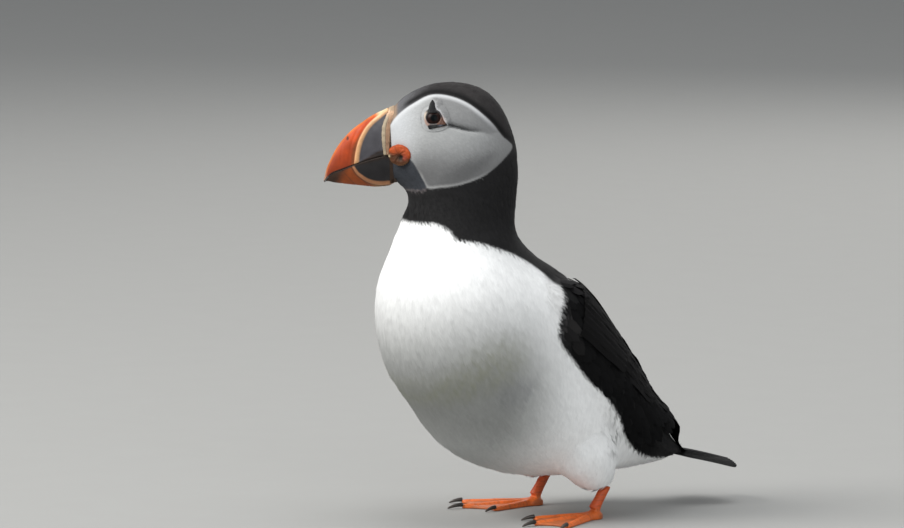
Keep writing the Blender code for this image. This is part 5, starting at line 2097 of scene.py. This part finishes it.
def toe_lines(name):
    """The foot's joint and the root of each claw, on the floor plan, in mm."""
    low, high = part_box(f"leg_{name}")
    heel = np.array(((low.x + high.x) / 2, (low.y + high.y) / 2, 0.0)) / MM
    return heel, [np.array(middle(f"claw_{name}_{number}")) / MM for number in TOES]


def foot_look(points, normals, name):
    """Colour and push for a leg and its foot, with scales that follow the toes."""
    place = points / MM
    heel, ends = toe_lines(name)
    best = np.full(len(place), np.inf)
    run = np.zeros(len(place))
    for end in ends:
        way = (end - heel)[:2]
        length = np.linalg.norm(way)
        way /= length
        along_toe = np.clip((place[:, :2] - heel[:2]) @ way, 0.0, length)
        gap = np.linalg.norm(place[:, :2] - heel[:2] - along_toe[:, None] * way, axis=1)
        nearer = gap < best
        best = np.where(nearer, gap, best)
        run = np.where(nearer, along_toe, run)
    on_toe = fade(best, 1.4, 2.6)
    shank = ease(place[:, 2], 4.2, 6.0)
    height = np.where(shank > 0.5, place[:, 2], run)
    scale_row = np.abs(np.sin(math.pi * height / SCALE_PITCH))
    seam = fade(scale_row, 0.0, 0.35) * np.maximum(on_toe, shank)
    facing_up = ease(normals[:, 2], 0.0, 0.5) * (1 - shank) + shank
    knuckle = np.abs(np.sin(math.pi * (run / KNUCKLE_PITCH + 0.1)))
    colour = layered(
        plain(WEB_DULL, len(place)),
        (FOOT_ORANGE, np.maximum(on_toe, shank * 0.9)),
        (FOOT_RED, shank * 0.6),
        (JOINT_DARK, fade(knuckle, 0.0, 0.25) * on_toe * (1 - shank) * 0.35),
        (JOINT_DARK, seam * 0.45))
    push = (SCALE_RELIEF * (scale_row ** 0.5 - 1.0)) * np.maximum(on_toe, shank) * facing_up
    return colour, push


FOOT_SKIN = horn_finish("foot skin", 0.5, 0.12, 900.0, 0.25)


def build_foot(name):
    grown = grown_solids((f"leg_{name}", f"foot_{name}"), FOOT_BRIDGE)
    mesh = poured(f"leg_and_foot_{name}", grown, FOOT_VOXEL)
    points = relaxed(mesh_points(mesh), mesh_edges(mesh), 5)
    move_points(mesh, points)
    normals = mesh_normals(mesh)
    points = points - normals * FOOT_SUNK * MM
    colour, push = foot_look(points, normals, name)
    points = points + normals * (push * MM)[:, None]
    points[:, 2] = np.maximum(points[:, 2], 0.0)
    move_points(mesh, points)
    store_colour(mesh, "finish", colour)
    mesh.shade_smooth()
    piece = add_object(f"leg_and_foot_{name}", mesh, FOOT_SKIN)
    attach(piece, "root")
    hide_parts(f"leg_{name}", f"foot_{name}")
    print(piece.name, "triangles:", len(mesh.polygons) * 2)


for side_name, _sign in SIDES:
    build_foot(side_name)

# %% [markdown]
# The claws are sharp, curved and dark, browner at the root. Each is poured from its solid at
# a very fine grain and its root is drawn back a little into the toe, which has been relaxed.

# %% Claws
CLAW_TIP = (0.018, 0.015, 0.013)
CLAW_ROOT = (0.075, 0.06, 0.05)
CLAW_ROOTED = 1.0 * MM  # how far its root is drawn back into the toe
CLAW_GROWTH = 0.05 * MM
CLAW_VOXEL = 0.16 * MM
CLAW_HORN = horn_finish("claw horn", 0.35, 0.3, 2400.0, 0.06)


def build_claw(name, number):
    node_name = f"claw_{name}_{number}"
    mesh = poured(f"{node_name}_horn", grown_solids((node_name,), CLAW_GROWTH), CLAW_VOXEL)
    points = relaxed(mesh_points(mesh), mesh_edges(mesh), 4)
    points[:, 2] = np.maximum(points[:, 2], 0.0)
    ahead_share = ease(-points[:, 1], -points[:, 1].max(), -points[:, 1].min())
    points[:, 1] += CLAW_ROOTED * (1.0 - ahead_share)
    move_points(mesh, points)
    mesh.shade_smooth()
    store_colour(mesh, "finish", over(plain(CLAW_TIP, len(points)), CLAW_ROOT, ahead_share * 0.8))
    piece = add_object(mesh.name, mesh, CLAW_HORN)
    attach(piece, "root")
    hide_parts(node_name)


for side_name, _sign in SIDES:
    for claw_number in TOES:
        build_claw(side_name, claw_number)
print("claws:", 2 * len(TOES))

# %% [markdown]
# The long feathers of the wing and tail are firm blades. Each one here is drawn along its
# own path on the folded wing and pressed onto the surface beneath it, so that it follows the
# body's curve. A folded wing is stacked like a closed fan: the innermost feather lies on
# top and the longest, outermost one is lowest, so each is laid a hair further out than the last.

# %% Long feathers
WING_NODES = ("wing", "primaries")
WING_START = (-8.0, 96.0)  # ahead and up, mm: a line through the body beside the wing
WING_RUN = (112.0, 74.0)  # how far it runs back and down
FAR_OUT = 90  # mm from the line, where the search for the wing's surface starts
NEAR_OUT = 30
SHEET = 0.16 * MM  # how thick a feather is
SHEET_SHARE = 0.35  # of that, how much further out each feather of the stack lies
STACK_SUNK = 0.2 * MM
WING_BLADE_ROOT = 0.85  # of the full width
VANE_ROWS = 26
VANE_COLUMNS = 9


def wing_spot(tree, sign, share, degrees):
    """The folded wing's surface at a share of its length and some way round the body."""
    ahead = WING_START[0] - WING_RUN[0] * share
    up = WING_START[1] - WING_RUN[1] * share
    start = Vector((0.0, NECK.y - ahead * MM, up * MM))
    back = Vector((0.0, WING_RUN[1], WING_RUN[0])).normalized()
    angle = math.radians(degrees)
    out = back * math.cos(angle) + Vector((sign, 0.0, 0.0)) * math.sin(angle)
    found, normal, _face, _far = tree.ray_cast(start + out * FAR_OUT * MM, -out)
    if found is None:
        found, normal, _face, _far = tree.find_nearest(start + out * NEAR_OUT * MM)
    return found, (normal if normal.dot(out) > 0 else -normal)


def blade(spine, facing, widths, stack):
    """A feather along a spine of points, with a raised shaft and drooping edges."""
    spine = np.array(spine)
    facing = np.array(facing)
    for _round in range(2):
        facing[1:-1] = (facing[:-2] + facing[1:-1] + facing[2:]) / 3
    facing /= np.linalg.norm(facing, axis=1)[:, None]
    along = np.gradient(spine, axis=0)
    along /= np.linalg.norm(along, axis=1)[:, None]
    across = np.cross(facing, along)
    columns = np.linspace(-1, 1, VANE_COLUMNS)
    grid = np.empty((len(spine), VANE_COLUMNS, 3))
    for column, c in enumerate(columns):
        shaft = 0.25 * math.exp(-(c / 0.12) ** 2)
        curl = -0.35 * c ** 2
        side = widths * (c * (0.85 if c > 0 else 1.15))
        grid[:, column] = spine + across * side[:, None] + facing * ((shaft + curl) * MM + stack)
    return grid


def joined_blades(name, grids, colours):
    """Many feathers in one mesh, each a thin blade with its patch of the map."""
    points, faces, along, tone, tints, maps = [], [], [], [], [], []
    base = 0
    for grid, (colour, own_tone, place) in zip(grids, colours):
        rows, columns = grid.shape[:2]
        faces.append(grid_faces(rows, columns, base=base))
        points.append(grid.reshape(-1, 3))
        level = np.linspace(0, 1, rows)
        along.append(np.repeat(level, columns))
        tone.append(np.full(rows * columns, own_tone))
        tints.append(plain(colour, rows * columns))
        u = place[0] + (np.tile(np.linspace(0, 1, columns), rows) - 0.5) * PATCH * 4
        v = place[1] + (np.repeat(level, columns) - 0.5) * PATCH * 4
        maps.append(np.stack((u, v), 1))
        base += rows * columns
    mesh = smooth_mesh(name, np.concatenate(points).tolist(), np.concatenate(faces).tolist())
    store(mesh, "along", np.concatenate(along))
    store(mesh, "tone", np.concatenate(tone))
    store_colour(mesh, "plumage", np.concatenate(tints))
    layer = mesh.uv_layers.new(name="OFBake")
    layer.data.foreach_set("uv", np.concatenate(maps)[corner_points(mesh)].ravel())
    piece = add_object(name, mesh, WING_PLUMAGE)
    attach(piece, "root")
    print(name, "triangles:", len(mesh.polygons) * 2)
    return piece


def feather_widths(length_rows, widest, root, tip_round=0.16):
    """Half widths along a feather: narrow root, long even blade, rounded end."""
    t = np.linspace(0, 1, length_rows)
    body = root + (1 - root) * ease(t, 0.0, 0.35)
    end = np.sqrt(np.clip(1 - (np.clip(t - (1 - tip_round), 0, None) / tip_round) ** 2.2, 0.003, 1))
    return widest * body * end * MM


# Feathers of one wing: count, then from the first to the last feather of the row the root's
# and the tip's place along the wing and round the body, half width, and where it stacks
FEATHER_ROWS = (
    ("primaries", 8, (0.50, 0.40), (70, 44), (0.985, 0.70), (57, 43), 4.3, 0),
    ("secondaries", 10, (0.30, 0.26), (73, 38), (0.66, 0.60), (74, 37), 4.6, 9),
    ("greater_coverts", 11, (0.20, 0.16), (74, 34), (0.46, 0.42), (75, 33), 3.6, 20),
)


def build_wing(name, sign):
    tree = tree_of([f"{part}_{name}" for part in WING_NODES] + ["rump", "belly", "back", "tail"])
    rng = np.random.default_rng(17)
    grids, colours = [], []
    for _kind, count, root_share, root_round, tip_share, tip_round, widest, level in FEATHER_ROWS:
        for i in range(count):
            t = i / (count - 1)
            start, end = (np.array([np.interp(t, (0, 1), row) for row in rows])
                          for rows in ((root_share, root_round), (tip_share, tip_round)))
            spots = [wing_spot(tree, sign, *(start + (end - start) * s))
                     for s in np.linspace(0, 1, VANE_ROWS)]
            spine = relaxed_line(np.array([found for found, _normal in spots]), 3)
            widths = feather_widths(VANE_ROWS, widest, WING_BLADE_ROOT)
            stack = (level + i) * SHEET * SHEET_SHARE - STACK_SUNK
            grids.append(blade(spine, [normal for _found, normal in spots], widths, stack))
            tint = np.array(WING_BLACK) * rng.uniform(1.0, 1.7) + np.array(BROWN_EDGE) * 0.02
            map_spot = (0.1 + 0.8 * (i / count) * 0.5 + 0.4 * (sign > 0), 0.30 + 0.02 * level)
            colours.append((tint, rng.uniform(-1, 1), map_spot))
    piece = joined_blades(f"long_wing_feathers_{name}", grids, colours)
    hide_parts(f"primaries_{name}")


def relaxed_line(points, rounds):
    for _round in range(rounds):
        points[1:-1] = (points[:-2] + 2 * points[1:-1] + points[2:]) / 4
    return points


for side_name, side_sign in SIDES:
    build_wing(side_name, side_sign)

# %% [markdown]
# The tail is short: a dozen black, blunt feathers that spread a little. The middle pair lies
# on top, and the soft feathers of the rump run over their roots.

# %% Tail
TAIL_FEATHERS = 12
TAIL_HALF_WIDTH = 4.2
TAIL_ROOT_HALF = 6.0  # mm to each side that the roots spread
TAIL_ROOT_UP = 27.4
TAIL_ROOTED = 2.0
TAIL_BLADE_ROOT = 0.5


def build_tail():
    low, high = (np.array(c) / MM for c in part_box("tail"))
    rng = np.random.default_rng(23)
    grids, colours = [], []
    order = sorted(range(TAIL_FEATHERS), key=lambda i: -abs(i - (TAIL_FEATHERS - 1) / 2))
    for level, i in enumerate(order):
        side = (i - (TAIL_FEATHERS - 1) / 2) / ((TAIL_FEATHERS - 1) / 2)
        root_back = low[1] + TAIL_ROOTED
        root = np.array((side * TAIL_ROOT_HALF, root_back, TAIL_ROOT_UP - abs(side) * 1.5))
        reach = high[1] - low[1] - 2.5 - 3.5 * abs(side) ** 2
        tip = np.array((side * (high[0] - 4.0), root_back + reach, low[2] + 1.0 - 0.6 * abs(side)))
        t = np.linspace(0, 1, VANE_ROWS)[:, None]
        spine = (root + (tip - root) * t) * MM
        spine[:, 2] += (np.sin(t[:, 0] * math.pi) * 0.5 + level * 0.10) * MM
        facing = np.tile((side * 0.25, 0.2, 1.0), (VANE_ROWS, 1))
        widths = feather_widths(VANE_ROWS, TAIL_HALF_WIDTH, TAIL_BLADE_ROOT, 0.14)
        grids.append(blade(spine, facing, widths, 0.0))
        tint = np.array(WING_BLACK) * rng.uniform(1.2, 2.4)
        colours.append((tint, rng.uniform(-1, 1), (0.3 + 0.4 * i / TAIL_FEATHERS, 0.96)))
    piece = joined_blades("tail_feathers", grids, colours)
    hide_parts("tail")


build_tail()

# %% [markdown]
# The skin itself shows only between the barbs, where it stands for the down close to it, so
# it carries the same colours with the fine grain of down, a little darker as painted shade
# between the barbs.

# %% Skin piece
# painted shade: the skin between the barbs is a little darker than the plumage over it
SKIN_SHADE = 0.92


def skin_finish():
    made, tree, inputs = material_with("skin under plumage", 0.8, 0.2)
    pores = put(tree, "ShaderNodeTexVoronoi", {"Vector": object_place(tree), "Scale": 900.0})
    deep = pores.outputs["Distance"]
    tone = scaled(tree, deep, 0.0, 0.6, SKIN_SHADE * 0.95, SKIN_SHADE * 1.02)
    bump = put(tree, "ShaderNodeBump", {"Height": deep, "Distance": 0.05 * MM, "Strength": 0.4})
    feed(tree, (inputs["Base Color"], inputs["Normal"]),
         (times_number(tree, attribute(tree, "plumage", "Color"), tone), bump.outputs[0]))
    return made


forget_laying(skin_mesh)
skin_mesh.shade_smooth()
skin = add_object("skin", skin_mesh, skin_finish())
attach(skin, "root")
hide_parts(*FLESH)
for group in PLUMES.values():
    for thing in list(group.objects):
        bpy.data.objects.remove(thing)
    bpy.data.collections.remove(group)

# %% [markdown]
# The view is shown in plain display colours, so that white plumage reads as white. Last,
# the box of the solids and the box of the dressed bird are printed side by side.

# %% Sizes and finish
bpy.context.scene.view_settings.view_transform = "Standard"
dressed_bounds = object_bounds()
sizes = [[list(corner) for corner in bounds] for bounds in (solid_bounds, dressed_bounds)]
for label, (low, high) in zip(("solids", "dressed"), sizes):
    print(label, "mm:", [round(v / MM, 1) for v in low], [round(v / MM, 1) for v in high])
